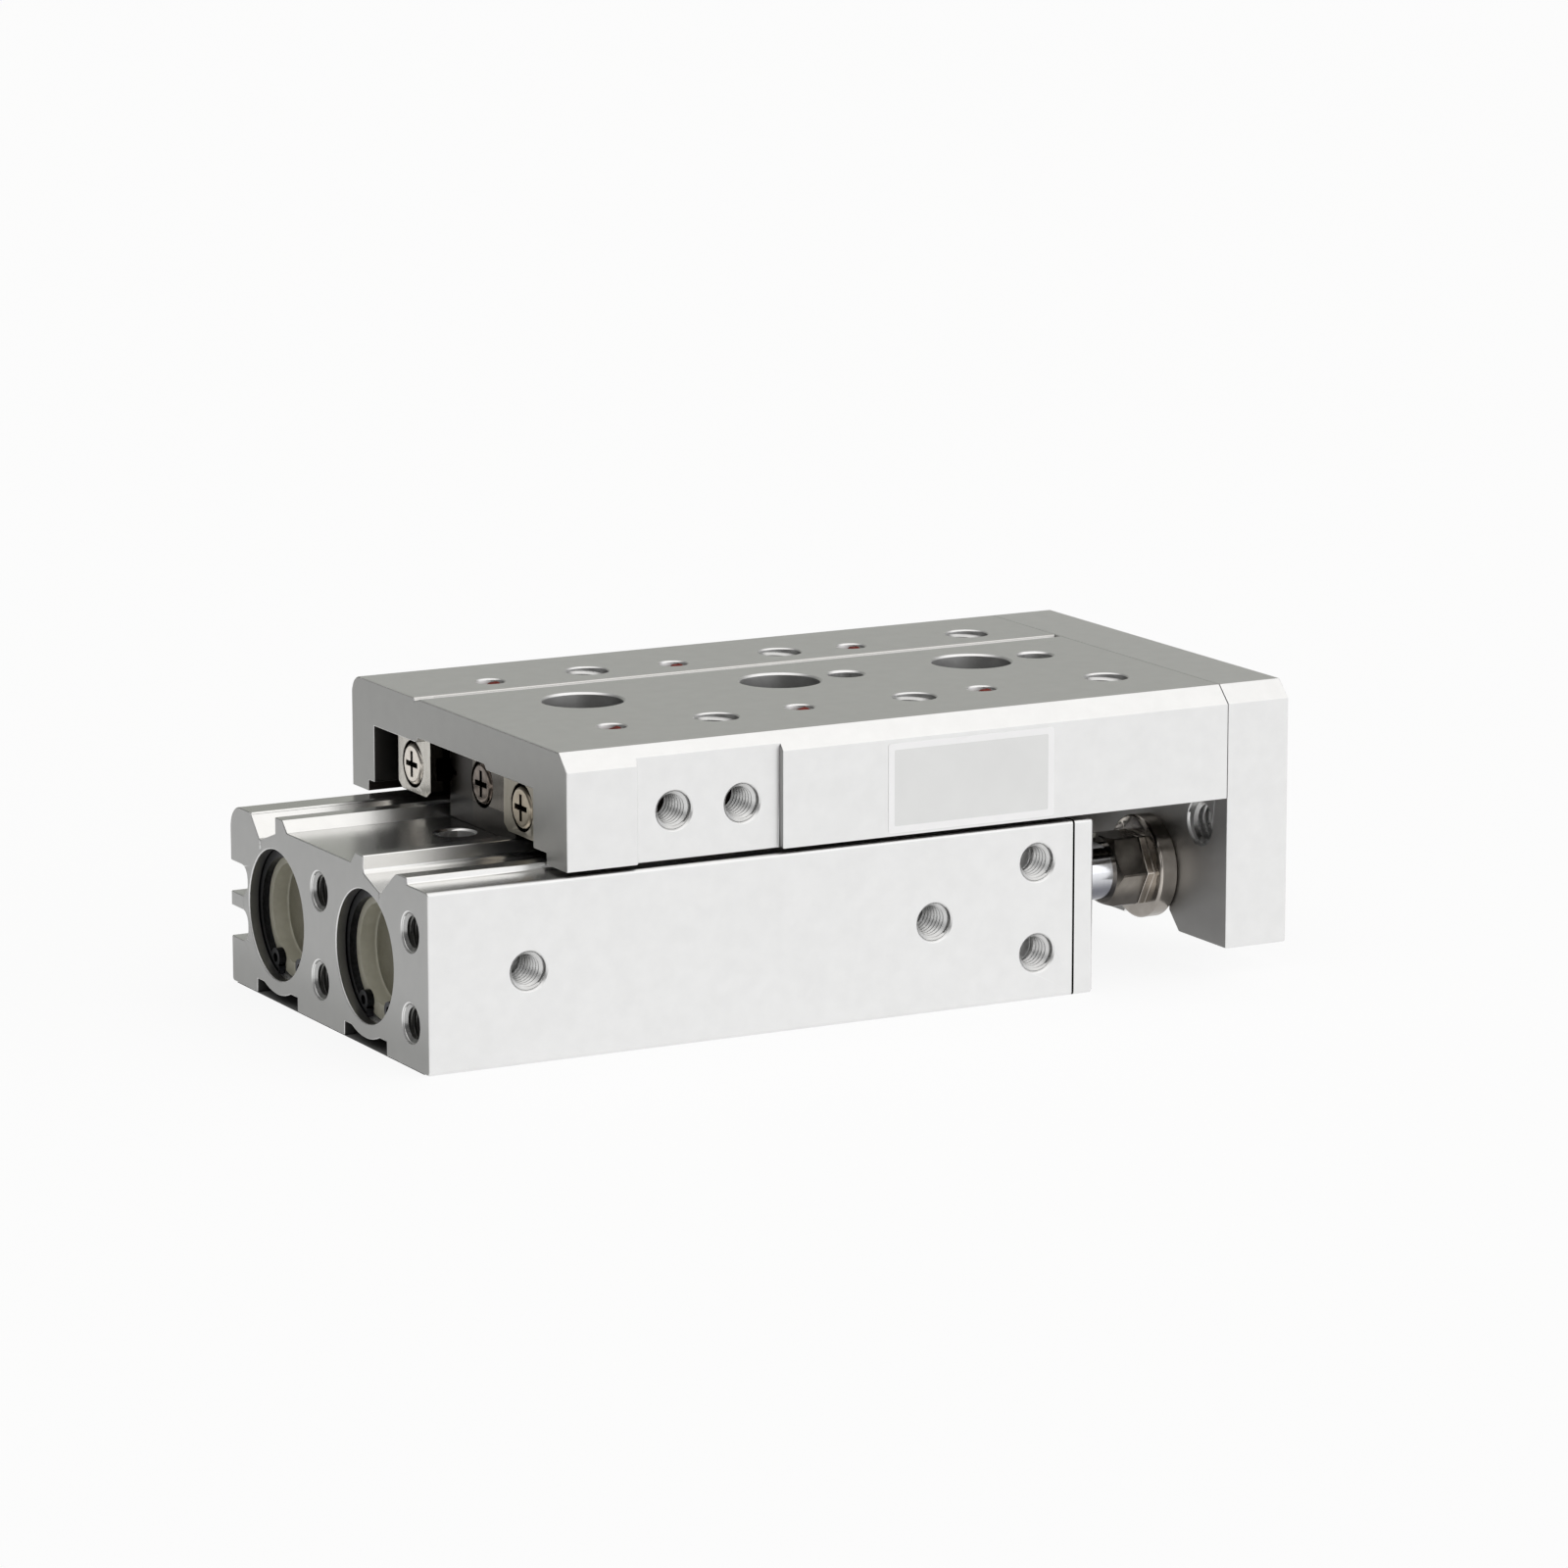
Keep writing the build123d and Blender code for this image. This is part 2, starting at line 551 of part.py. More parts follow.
def make_centre_rail():
    """Body rail: V groove on both sides, wells for its screws and for the mounting screws."""
    half = CENTRE_HALF
    top = SEAT_Z + CENTRE_RAIL_HEIGHT
    section = make_face(Polyline((-half, SEAT_Z), (-half, top), (half, top), (half, SEAT_Z), close=True))
    section = chamfer(section.vertices().group_by(Axis.Y)[-1], 0.5)
    for side in (-1, 1):
        section -= v_groove(side * half, side)
    rail = across_x(section, X_CENTRE_RAIL, X_CENTRE_RAIL_END - X_CENTRE_RAIL)
    for x in HOLE_X:
        if x > X_CENTRE_RAIL + CENTRE_RAIL_ACCESS / 2:
            rail -= Pos(x, 0, top) * Cylinder(CENTRE_RAIL_ACCESS / 2, 4 * CENTRE_RAIL_HEIGHT)
    for x in CENTRE_SCREW_X:
        rail -= Pos(x, 0, top) * drill(BOLT_HEAD + 2 * PASS_GAP, BOLT_HEAD_HEIGHT + 0.4, chamfer=0, point=False)
        rail -= Pos(x, 0, top) * Cylinder(BOLT / 2 + FIT_GAP, 4 * CENTRE_RAIL_HEIGHT)
    for x, turn in ((X_CENTRE_RAIL, TO_REAR), (X_CENTRE_RAIL_END, TO_FRONT)):
        rail -= Pos(x, 0, ROLLER_Z) * end_screw_well(turn)
    return rail


def make_rollers_and_cage(side):
    """Flat cage with a row of rollers whose axes cross each other at right angles."""
    y = side * (RAIL_INNER - RAIL_GAP / 2)
    open_end = X_TABLE - EXTENDED + STROKE + RAIL_SETBACK
    middle = (open_end + X_CENTRE_RAIL_END) / 2 - (STROKE - EXTENDED) / 2
    cage = Pos(middle, y, ROLLER_Z) * Box(CAGE_LENGTH, CAGE_THICKNESS, CAGE_HEIGHT)
    rollers = []
    for i in range(ROLLER_COUNT):
        x = middle + (i - (ROLLER_COUNT - 1) / 2) * ROLLER_PITCH
        tilt = 45 if i % 2 else -45
        rollers.append(Pos(x, y, ROLLER_Z) * Rot(tilt, 0, 0) * Cylinder(ROLLER / 2, ROLLER_LENGTH))
        window = Box(ROLLER + 0.2, 2 * CAGE_THICKNESS, ROLLER * 2 ** 0.5 + 0.2)
        cage -= Pos(x, y, ROLLER_Z) * window
    return cage, rollers


def plate_outline(bottom):
    """Outer outline that the table and the end plate share."""
    near = -NEAR_SIDE
    points = [
        (near, bottom),
        (near, TABLE_TOP_Z - TABLE_CHAMFER),
        (near + TABLE_CHAMFER, TABLE_TOP_Z),
        (TABLE_FAR, TABLE_TOP_Z),
        (TABLE_FAR, bottom),
    ]
    face = make_face(Polyline(*points, close=True))
    corner = face.vertices().sort_by(Axis.X)[-2:].sort_by(Axis.Y)[-1]
    return fillet([corner], TABLE_FAR_RADIUS)


def make_table():
    """Channel-shaped table with its rail seats, threads, access holes and side pocket."""
    face = plate_outline(TABLE_BOTTOM_Z)
    near_lip = -NEAR_SIDE + LEG_LIP_WIDTH
    far_lip = TABLE_FAR - FAR_LIP_WIDTH
    below = TABLE_BOTTOM_Z - CUT
    relief_z = CEILING_Z + RELIEF_HEIGHT
    channel = [
        (near_lip, below),
        (near_lip, LEG_LIP_Z),
        (-CHANNEL_NEAR, LEG_LIP_Z),
        (-CHANNEL_NEAR, CEILING_Z),
        (-RELIEF_NEAR, CEILING_Z),
        (-RELIEF_NEAR + RELIEF_HEIGHT, relief_z),
        (RELIEF_FAR - RELIEF_HEIGHT, relief_z),
        (RELIEF_FAR, CEILING_Z),
        (CHANNEL_FAR, CEILING_Z),
        (CHANNEL_FAR, LEG_LIP_Z),
        (far_lip, LEG_LIP_Z),
        (far_lip, below),
    ]
    face -= make_face(Polyline(*channel, close=True))
    top = TABLE_TOP_Z
    line = [
        (LINE_GROOVE_Y, top + CUT),
        (LINE_GROOVE_Y, top - LINE_GROOVE_DEPTH),
        (LINE_GROOVE_Y - LINE_GROOVE_WIDTH, top),
        (LINE_GROOVE_Y - LINE_GROOVE_WIDTH, top + CUT),
    ]
    face -= make_face(Polyline(*line, close=True))
    table = across_x(face, X_TABLE, TABLE_LENGTH)
    through = TABLE_TOP_Z - CEILING_Z + CUT
    for x in HOLE_X:
        hole_x = x + EXTENDED
        table -= Pos(hole_x, 0, top) * drill(ACCESS_HOLE, through, point=False)
    for x in TOP_THREAD_X:
        for side in (-1, 1):
            y = side * TOP_THREAD_SPAN / 2
            table -= Pos(x, y, top) * drill(TOP_THREAD, TABLE_TOP_Z - CEILING_Z - 0.4, chamfer=0.2, point=False)
    for x in TOP_THREAD_X[1:]:
        table -= Pos(x, 0, top) * drill(PIN_HOLE, through, point=False)
    for x in RAIL_SCREW_X:
        for side in (-1, 1):
            y = side * RAIL_SCREW_SPAN / 2
            table -= Pos(x, y, top) * drill(RAIL_SCREW_WELL, RAIL_SCREW_WELL_DEPTH, chamfer=0.2, point=False)
            table -= Pos(x, y, top) * drill(RAIL_SCREW, through, chamfer=0, point=False)
        z = ROLLER_Z
        table -= Pos(x, TABLE_FAR, z) * TO_FAR * drill(M4, TABLE_FAR - CHANNEL_FAR + CUT, point=False)
    pocket = Box(POCKET_LENGTH, 2 * POCKET_DEPTH, 2 * top, align=(Align.MIN, Align.CENTER, Align.CENTER))
    table -= Pos(X_TABLE + POCKET_START, -NEAR_SIDE, top) * pocket
    for step in (0, TABLE_SIDE_THREAD_PITCH):
        x = X_TABLE + TABLE_SIDE_THREAD_START + step
        depth = NEAR_SIDE - CHANNEL_NEAR
        floor = -NEAR_SIDE + POCKET_DEPTH
        table -= Pos(x, floor, TABLE_SIDE_THREAD_Z) * TO_NEAR * drill(M5, depth, point=False)
    for y, z in plate_bolt_places():
        table -= Pos(X_PLATE, y, z) * TO_FRONT * drill(BOLT, BOLT_LENGTH, chamfer=0)
    return table


def plate_bolt_places():
    middle_z = (TABLE_BOTTOM_Z + TABLE_TOP_Z) / 2 - 0.3
    near_y = -(NEAR_SIDE + CHANNEL_NEAR) / 2
    far_y = (TABLE_FAR + CHANNEL_FAR) / 2 - 0.2
    half = BOLT_SPAN_Z / 2
    return [(y, middle_z + step) for y in (near_y, far_y) for step in (-half, half)]


def rod_slot_section(width, flare):
    """Slot open at the bottom of the end plate, with a flared mouth, about a rod axis at the origin."""
    half = width / 2
    low = PLATE_BOTTOM_Z - BORE_Z
    slot = Circle(half) + Pos(0, low) * Rectangle(width, -2 * low)
    if flare > 0:
        mouth = Polygon(
            (-half - flare - CUT, low - CUT),
            (half + flare + CUT, low - CUT),
            (half, low + flare),
            (-half, low + flare),
            align=None,
        )
        slot += mouth
    upper = Pos(0, half + CUT) * Rectangle(4 * width, 2 * CUT)
    return slot - upper


def make_end_plate():
    """Plate on the table's front, with a bottom-open slot for each rod end."""
    plate = across_x(plate_outline(PLATE_BOTTOM_Z), X_PLATE, PLATE_THICKNESS)
    for name, side in SIDES:
        place = Pos(bore_y(side), BORE_Z)
        plate -= across_x(place * rod_slot_section(ROD_SLOT, ROD_SLOT_FLARE), X_PLATE - CUT, PLATE_THICKNESS + 2 * CUT)
        nut = rod_slot_section(NUT_SLOT, 0)
        plate -= across_x(place * nut, X_PLATE_FRONT - NUT_SLOT_DEPTH, NUT_SLOT_DEPTH + CUT)
    for y, z in plate_bolt_places():
        head = drill(BOLT_HEAD + PASS_GAP, BOLT_HEAD_HEIGHT + 0.4, chamfer=0, point=False)
        plate -= Pos(X_PLATE_FRONT, y, z) * TO_FRONT * head
        plate -= rod(BOLT + 2 * PASS_GAP, X_PLATE - CUT, X_PLATE_FRONT, y, z)
    hole = drill(ADJUSTER_THREAD, PLATE_THICKNESS + CUT, point=False)
    plate -= Pos(X_PLATE, -NEAR_SIDE + ADJUSTER_FROM_NEAR, ADJUSTER_Z) * TO_REAR * hole
    for side in (-1, 1):
        for level in (-1, 1):
            z = PLATE_THREAD_MID_Z + level * PLATE_THREAD_SPAN_Z / 2
            place = Pos(X_PLATE_FRONT, side * PLATE_THREAD_SPAN_Y / 2, z)
            plate -= place * TO_FRONT * drill(PLATE_THREAD, PLATE_THREAD_DEPTH)
    return plate


def make_piston(y, magnet):
    """Piston with its seal and, where there are sensor slots, a magnet ring."""
    size = BORE - 2 * PISTON_CLEARANCE
    piston = rod(size, X_PISTON, X_PISTON_END, y, BORE_Z)
    piston -= rod(ROD_TAIL + 2 * FIT_GAP, X_PISTON - CUT, X_PISTON_END + CUT, y, BORE_Z)
    seal_x = X_PISTON + PISTON_LENGTH * 0.6
    floor = size - 2 * SEAL_GROOVE_DEPTH
    piston -= tube(BORE + CUT, floor, seal_x, seal_x + SEAL_GROOVE_WIDTH, y, BORE_Z)
    seal_end = seal_x + SEAL_GROOVE_WIDTH - FIT_GAP
    seal = tube(BORE - 2 * RUN_GAP, floor + 2 * FIT_GAP, seal_x + FIT_GAP, seal_end, y, BORE_Z)
    ring = None
    if magnet:
        magnet_x = X_PISTON + PISTON_LENGTH * 0.2
        inner = size - 2 * MAGNET_DEPTH
        piston -= tube(BORE + CUT, inner, magnet_x, magnet_x + MAGNET_WIDTH, y, BORE_Z)
        end = magnet_x + MAGNET_WIDTH - FIT_GAP
        ring = tube(size - 2 * PISTON_CLEARANCE, inner + 2 * FIT_GAP, magnet_x + FIT_GAP, end, y, BORE_Z)
    return piston, seal, ring


def make_rod(y):
    """Rod with a tail through the piston and a tapped spigot at the end plate."""
    shoulder = rod_shoulder_x()
    bar = rod(ROD, X_PISTON_END, shoulder, y, BORE_Z)
    bar += rod(ROD_TAIL, X_PISTON - BUMPER, X_PISTON_END, y, BORE_Z)
    spigot_end = X_PLATE + neck_length() - 1.0
    bar += rod(ROD_SPIGOT, shoulder, spigot_end, y, BORE_Z)
    depth = END_CAP_SCREW_LENGTH
    bar -= Pos(spigot_end, y, BORE_Z) * TO_FRONT * drill(END_CAP_SCREW, depth, chamfer=0)
    return bar


def rod_shoulder_x():
    return X_PLATE - BUSH_FLANGE_HEIGHT - BUSH_HEX_HEIGHT - NUT_FACE_HEIGHT - ROD_NUT_HEIGHT


def neck_length():
    return PLATE_THICKNESS - NUT_SLOT_DEPTH + 0.1


def wrench_hexagon(height):
    """Hexagon bar with turned corners, one corner to the near side."""
    bar = extrude(Rot(0, 0, 30) * RegularPolygon(ROD_NUT / 2, 6, major_radius=False), height)
    return bar & Cylinder(ROD_NUT_TURNED / 2, height, align=STANDING)


def make_rod_nut(y):
    """Hexagon lock nut on the rod's spigot, chamfered at the rear, with a raised face at the front."""
    nut = wrench_hexagon(ROD_NUT_HEIGHT)
    face = ROD_NUT * 0.48
    nut &= Cone(face, face + 1.4 * ROD_NUT_HEIGHT, ROD_NUT_HEIGHT, align=STANDING)
    nut += Pos(0, 0, ROD_NUT_HEIGHT) * Cylinder(face, NUT_FACE_HEIGHT, align=STANDING)
    nut -= Cylinder(ROD_SPIGOT / 2 + FIT_GAP, 4 * ROD_NUT_HEIGHT)
    return Pos(rod_shoulder_x(), y, BORE_Z) * TO_FRONT * nut


def make_floating_bush(y):
    """Bush with a wrench hexagon, a flange that bears on the plate and a neck in the rod slot."""
    start = X_PLATE - BUSH_FLANGE_HEIGHT - BUSH_HEX_HEIGHT
    flange = rod(BUSH_FLANGE, X_PLATE - BUSH_FLANGE_HEIGHT, X_PLATE, y, BORE_Z)
    bush = chamfer(flange.edges().filter_by(GeomType.CIRCLE), 0.3)
    bush += Pos(start, y, BORE_Z) * TO_FRONT * wrench_hexagon(BUSH_HEX_HEIGHT)
    bush += rod(BUSH_NECK, X_PLATE, X_PLATE + neck_length(), y, BORE_Z)
    return bush - rod(ROD_SPIGOT + 2 * FIT_GAP, start - CUT, X_PLATE_FRONT, y, BORE_Z)


def make_table_screws():
    """Screws that hold the outer rails, from below, and the set screws that preload the far rail."""
    rail_screws = []
    preload = []
    head_z = RAIL_BOTTOM_Z + 3.4
    length = TABLE_TOP_Z - RAIL_SCREW_WELL_DEPTH - head_z
    for x in RAIL_SCREW_X:
        for side in (-1, 1):
            screw = cap_screw(RAIL_SCREW, RAIL_SCREW_HEAD, 3.0, length, 2.5)
            rail_screws.append(Pos(x, side * RAIL_SCREW_SPAN / 2, head_z) * TO_BASE * screw)
        reach = TABLE_FAR - RAIL_OUTER - 0.8
        pin = Cylinder(M4 / 2 - FIT_GAP, reach, align=STANDING)
        pin -= Pos(0, 0, reach) * hex_socket(2.0, 2.0)
        preload.append(Pos(x, RAIL_OUTER, ROLLER_Z) * TO_FAR * pin)
    return rail_screws, preload


def build():
    """Every piece by its node name: one solid, or a list of identical fasteners."""
    parts = {
        "cylinder_body": make_body(),
        "front_cover": make_front_cover(),
        "front_cover_screws": make_front_cover_screws(),
        "centre_rail": make_centre_rail(),
        "table": make_table(),
        "end_plate": make_end_plate(),
    }
    parts["centre_rail_end_screws"] = [
        Pos(X_CENTRE_RAIL, 0, ROLLER_Z) * TO_REAR * end_screw(),
        Pos(X_CENTRE_RAIL_END, 0, ROLLER_Z) * TO_FRONT * end_screw(),
    ]
    head_z = SEAT_Z + CENTRE_RAIL_HEIGHT - BOLT_HEAD_HEIGHT - 0.4
    bolt = cap_screw(BOLT, BOLT_HEAD, BOLT_HEAD_HEIGHT, head_z - SEAT_Z + 7, 3.0)
    parts["centre_rail_screws"] = [Pos(x, 0, head_z) * bolt for x in CENTRE_SCREW_X]
    seat_x = X_PLATE_FRONT - BOLT_HEAD_HEIGHT - 0.4
    bolt = cap_screw(BOLT, BOLT_HEAD, BOLT_HEAD_HEIGHT, seat_x - X_PLATE + BOLT_LENGTH - 2, 3.0)
    parts["end_plate_bolts"] = [Pos(seat_x, y, z) * TO_FRONT * bolt for y, z in plate_bolt_places()]
    parts["guide_rail_end_screws"] = []
    parts["rod_end_washers"] = []
    parts["rod_end_screws"] = []
    washer_x = X_PLATE + neck_length()
    end_bolt = cap_screw(END_CAP_SCREW, END_CAP_SCREW_HEAD, END_CAP_SCREW_HEIGHT, END_CAP_SCREW_LENGTH, 2.5)
    for name, side in SIDES:
        y = bore_y(side)
        parts[name + "_guide_rail"] = make_outer_rail(side)
        for x, turn in ((X_RAIL, TO_REAR), (X_RAIL_END, TO_FRONT)):
            parts["guide_rail_end_screws"].append(Pos(x, end_screw_y(side), ROLLER_Z) * turn * end_screw())
        cage, rollers = make_rollers_and_cage(side)
        parts[name + "_roller_cage"] = cage
        parts[name + "_rollers"] = rollers
        cap, ring = make_head_cap(y)
        parts[name + "_head_cap"] = cap
        parts[name + "_head_cap_o_ring"] = ring
        parts[name + "_head_retaining_ring"] = retaining_ring(X_REAR + RING_SETBACK, y)
        cover, bushing, seal, rings = make_gland(y)
        parts[name + "_rod_cover"] = cover
        parts[name + "_rod_bushing"] = bushing
        parts[name + "_rod_seal"] = seal
        parts[name + "_rod_cover_rear_o_ring"] = rings[0]
        parts[name + "_rod_cover_front_o_ring"] = rings[1]
        parts[name + "_rod_cover_retaining_ring"] = retaining_ring(X_GLAND_END, y)
        piston, seal, magnet = make_piston(y, side > 0)
        parts[name + "_piston"] = piston
        parts[name + "_piston_seal"] = seal
        if magnet:
            parts["far_piston_magnet"] = magnet
        parts[name + "_piston_rod"] = make_rod(y)
        bumper = BORE - 2 * BUMPER_WALL
        inner = ROD_TAIL + 2 * FIT_GAP
        parts[name + "_rear_bumper"] = tube(bumper, inner, X_PISTON - BUMPER, X_PISTON, y, BORE_Z)
        inner = ROD + 2 * FIT_GAP
        front = X_PISTON_END + BUMPER
        parts[name + "_front_bumper"] = tube(bumper, inner, X_PISTON_END, front, y, BORE_Z)
        parts[name + "_rod_nut"] = make_rod_nut(y)
        parts[name + "_floating_bush"] = make_floating_bush(y)
        washer = tube(WASHER, END_CAP_SCREW + 2 * PASS_GAP, washer_x, washer_x + WASHER_THICKNESS, y, BORE_Z)
        parts["rod_end_washers"].append(washer)
        screw = Pos(washer_x + WASHER_THICKNESS, y, BORE_Z) * TO_FRONT * end_bolt
        parts["rod_end_screws"].append(screw)
    parts["guide_rail_screws"], parts["preload_screws"] = make_table_screws()
    return parts


os.makedirs("parts", exist_ok=True)
for name, shape in build().items():
    if isinstance(shape, list):
        shape = Compound(children=[piece.solid() if piece.solid() else piece for piece in shape])
    export_step(shape, "parts/" + name + ".step")
print("rest extension", EXTENDED, "range", -EXTENDED, STROKE - EXTENDED)
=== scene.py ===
# %% [markdown]
# # A pneumatic slide table, dressed for its photograph
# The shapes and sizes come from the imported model, which stays as it is. This lesson adds what that model
# leaves out: finishes, softened edges, screw threads, a blank label and the studio.

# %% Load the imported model
import json
import math

import bmesh
import bpy
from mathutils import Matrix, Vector

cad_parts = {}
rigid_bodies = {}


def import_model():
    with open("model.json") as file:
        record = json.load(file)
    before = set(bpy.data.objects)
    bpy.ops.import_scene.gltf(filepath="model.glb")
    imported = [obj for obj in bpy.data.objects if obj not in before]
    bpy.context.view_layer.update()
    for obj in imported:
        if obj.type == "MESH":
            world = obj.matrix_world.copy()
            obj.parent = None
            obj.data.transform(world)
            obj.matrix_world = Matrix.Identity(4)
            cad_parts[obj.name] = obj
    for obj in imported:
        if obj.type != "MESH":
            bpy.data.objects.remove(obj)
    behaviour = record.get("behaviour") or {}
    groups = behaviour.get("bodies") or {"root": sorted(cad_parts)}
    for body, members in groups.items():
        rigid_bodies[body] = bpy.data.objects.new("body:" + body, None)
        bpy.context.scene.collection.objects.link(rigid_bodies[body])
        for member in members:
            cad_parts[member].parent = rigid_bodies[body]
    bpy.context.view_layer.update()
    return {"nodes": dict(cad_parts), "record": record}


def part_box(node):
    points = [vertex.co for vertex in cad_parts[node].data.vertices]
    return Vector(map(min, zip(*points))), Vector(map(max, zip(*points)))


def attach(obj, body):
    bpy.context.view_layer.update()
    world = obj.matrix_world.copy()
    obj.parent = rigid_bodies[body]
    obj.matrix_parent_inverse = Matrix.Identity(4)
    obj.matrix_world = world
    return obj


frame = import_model()
nodes = frame["nodes"]
mounts = {mount["name"]: mount for mount in frame["record"]["mounts"]}
print("pieces in the model:", len(nodes))

# %% [markdown]
# ## Sizes that the later steps share
# Blender works in metres here, while a machinist thinks in millimetres, so one value turns the one into
# the other. The places of the faces are read from the model, so they follow it when it changes.

# %% Faces of the main pieces
MM = 0.001
body_low, body_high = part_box("cylinder_body")
table_low, table_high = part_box("table")
plate_low, plate_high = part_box("end_plate")
near_side = body_low.y
table_top = table_high.z
print("near side at y", round(near_side / MM, 2), "table top at z", round(table_top / MM, 2))

# %% [markdown]
# ## Building a finish from nodes
# Every finish starts as one Principled shader. Nodes can be placed and joined by hand in the shader editor,
# but a script that does it can be read and run again. Small helpers add a node, feed it and hand back its
# result.


# %% Node helpers
def start_finish(name, metallic=0.0):
    """Make a material, and hand it back with its node tree and its shader."""
    finish = bpy.data.materials.new(name)
    finish.use_nodes = True
    shader = finish.node_tree.nodes["Principled BSDF"]
    shader.inputs["Metallic"].default_value = metallic
    return finish, finish.node_tree, shader


def add(tree, kind, **settings):
    """Add a shader node of a kind and give it its settings."""
    node = tree.nodes.new("ShaderNode" + kind)
    for key, value in settings.items():
        setattr(node, key, value)
    return node


def feed(tree, node, *values):
    """Give the first inputs of a node a link or a plain value each, and return its first output."""
    for socket, value in zip(node.inputs, values):
        if isinstance(value, bpy.types.NodeSocket):
            tree.links.new(value, socket)
        else:
            socket.default_value = value
    return node.outputs[0]


def compute(tree, operation, *values):
    return feed(tree, add(tree, "Math", operation=operation), *values)


# %% [markdown]
# A cloudy pattern makes colour and roughness wander between two limits, which is what stops a surface looking
# like plastic film. A picture of a surface could do the same, but noise needs no file and never repeats. All
# patterns read the object's own coordinates, so they travel with a piece when it moves.

# %% Patterns
PATTERN_LOW, PATTERN_HIGH = 0.3, 0.7  # nearly all of a noise lies between these


def own_coordinates(tree, stretch=(1, 1, 1)):
    """Coordinates of the object itself. A small number along an axis draws a pattern out along it."""
    place = add(tree, "TexCoord")
    mapping = add(tree, "Mapping")
    mapping.inputs["Scale"].default_value = stretch
    tree.links.new(place.outputs["Object"], mapping.inputs["Vector"])
    return mapping.outputs["Vector"]


def cloudy(tree, size, stretch=(1, 1, 1), detail=3.0):
    """Soft random pattern whose blotches are about size metres across."""
    noise = add(tree, "TexNoise")
    noise.inputs["Scale"].default_value = 1 / size
    noise.inputs["Detail"].default_value = detail
    tree.links.new(own_coordinates(tree, stretch), noise.inputs["Vector"])
    return noise.outputs["Fac"]


def between(tree, pattern, low, high):
    """Turn a pattern into a number between low and high."""
    span = add(tree, "MapRange")
    span.inputs["From Min"].default_value = PATTERN_LOW
    span.inputs["From Max"].default_value = PATTERN_HIGH
    span.inputs["To Min"].default_value = low
    span.inputs["To Max"].default_value = high
    tree.links.new(pattern, span.inputs["Value"])
    return span.outputs["Result"]


def two_tone(tree, pattern, dark, light):
    """Turn a pattern into a colour between dark and light."""
    ramp = add(tree, "ValToRGB")
    ramp.color_ramp.elements[0].position = PATTERN_LOW
    ramp.color_ramp.elements[0].color = (*dark, 1)
    ramp.color_ramp.elements[1].position = PATTERN_HIGH
    ramp.color_ramp.elements[1].color = (*light, 1)
    tree.links.new(pattern, ramp.inputs["Fac"])
    return ramp.outputs["Color"]


def relief(tree, shader, pattern, height, over=None):
    """Raise and lower the surface by up to height metres, on top of an earlier relief."""
    bump = add(tree, "Bump")
    bump.inputs["Strength"].default_value = 1.0
    bump.inputs["Distance"].default_value = height
    tree.links.new(pattern, bump.inputs["Height"])
    if over:
        tree.links.new(over.outputs["Normal"], bump.inputs["Normal"])
    tree.links.new(bump.outputs["Normal"], shader.inputs["Normal"])
    return bump


# %% [markdown]
# ## Zones on a finish
# One piece of metal can carry several zones: its sawn ends are duller than its drawn skin, and the inside
# of a channel is painted darker as shade. A mask picks such a zone. It is a chain of tests on the place or
# the slope of the surface, each giving 0 or 1, multiplied together. It could be painted on by hand instead,
# but tests made from the sizes stay right when a size changes. One of the tests is soft: it fades from 1 to 0
# over a distance, for a painted shade that has no edge.


# %% Masks
def place_along(tree, axis):
    split = add(tree, "SeparateXYZ")
    tree.links.new(own_coordinates(tree), split.inputs["Vector"])
    return split.outputs[axis]


def facing_along(tree, axis):
    """1 where the surface looks along the axis, -1 where it looks the other way, 0 where it lies along it."""
    split = add(tree, "SeparateXYZ")
    tree.links.new(add(tree, "NewGeometry").outputs["Normal"], split.inputs["Vector"])
    return split.outputs[axis]


def slope_along(tree, axis):
    return compute(tree, "ABSOLUTE", facing_along(tree, axis))


def above(tree, value, limit):
    return compute(tree, "GREATER_THAN", value, limit)


def below(tree, value, limit):
    return compute(tree, "LESS_THAN", value, limit)


def all_of(tree, *masks):
    total = masks[0]
    for mask in masks[1:]:
        total = compute(tree, "MULTIPLY", total, mask)
    return total


def within(tree, axis, low, high):
    """Mask of the places between two limits along an axis."""
    return all_of(tree, above(tree, place_along(tree, axis), low), below(tree, place_along(tree, axis), high))


def fading(tree, value, full, none):
    """A soft mask: 1 at the place full, falling in a smooth curve to 0 at the place none."""
    ramp = add(tree, "MapRange", interpolation_type="SMOOTHSTEP")
    ramp.inputs["From Min"].default_value = none
    ramp.inputs["From Max"].default_value = full
    tree.links.new(value, ramp.inputs["Value"])
    return ramp.outputs["Result"]


# %% [markdown]
# A mask does its work through a Mix node: it multiplies a colour by a tint, or it swaps one number for
# another. That node keeps sockets for every kind of value under the same names, so they are picked by number:
# 2 and 3 are its numbers, 6 and 7 its colours.


# %% Laying a mask over a finish
def tinted(tree, colour, mask, tint):
    """Multiply a colour by a tint where the mask is 1."""
    mix = add(tree, "Mix", data_type="RGBA", blend_type="MULTIPLY")
    tree.links.new(mask, mix.inputs[0])
    tree.links.new(colour, mix.inputs[6])
    mix.inputs[7].default_value = (*tint, 1)
    return mix.outputs[2]


def changed(tree, value, mask, new_value):
    """Swap a number for another where the mask is 1."""
    mix = add(tree, "Mix", data_type="FLOAT")
    tree.links.new(mask, mix.inputs[0])
    tree.links.new(value, mix.inputs[2])
    mix.inputs[3].default_value = new_value
    return mix.outputs[0]
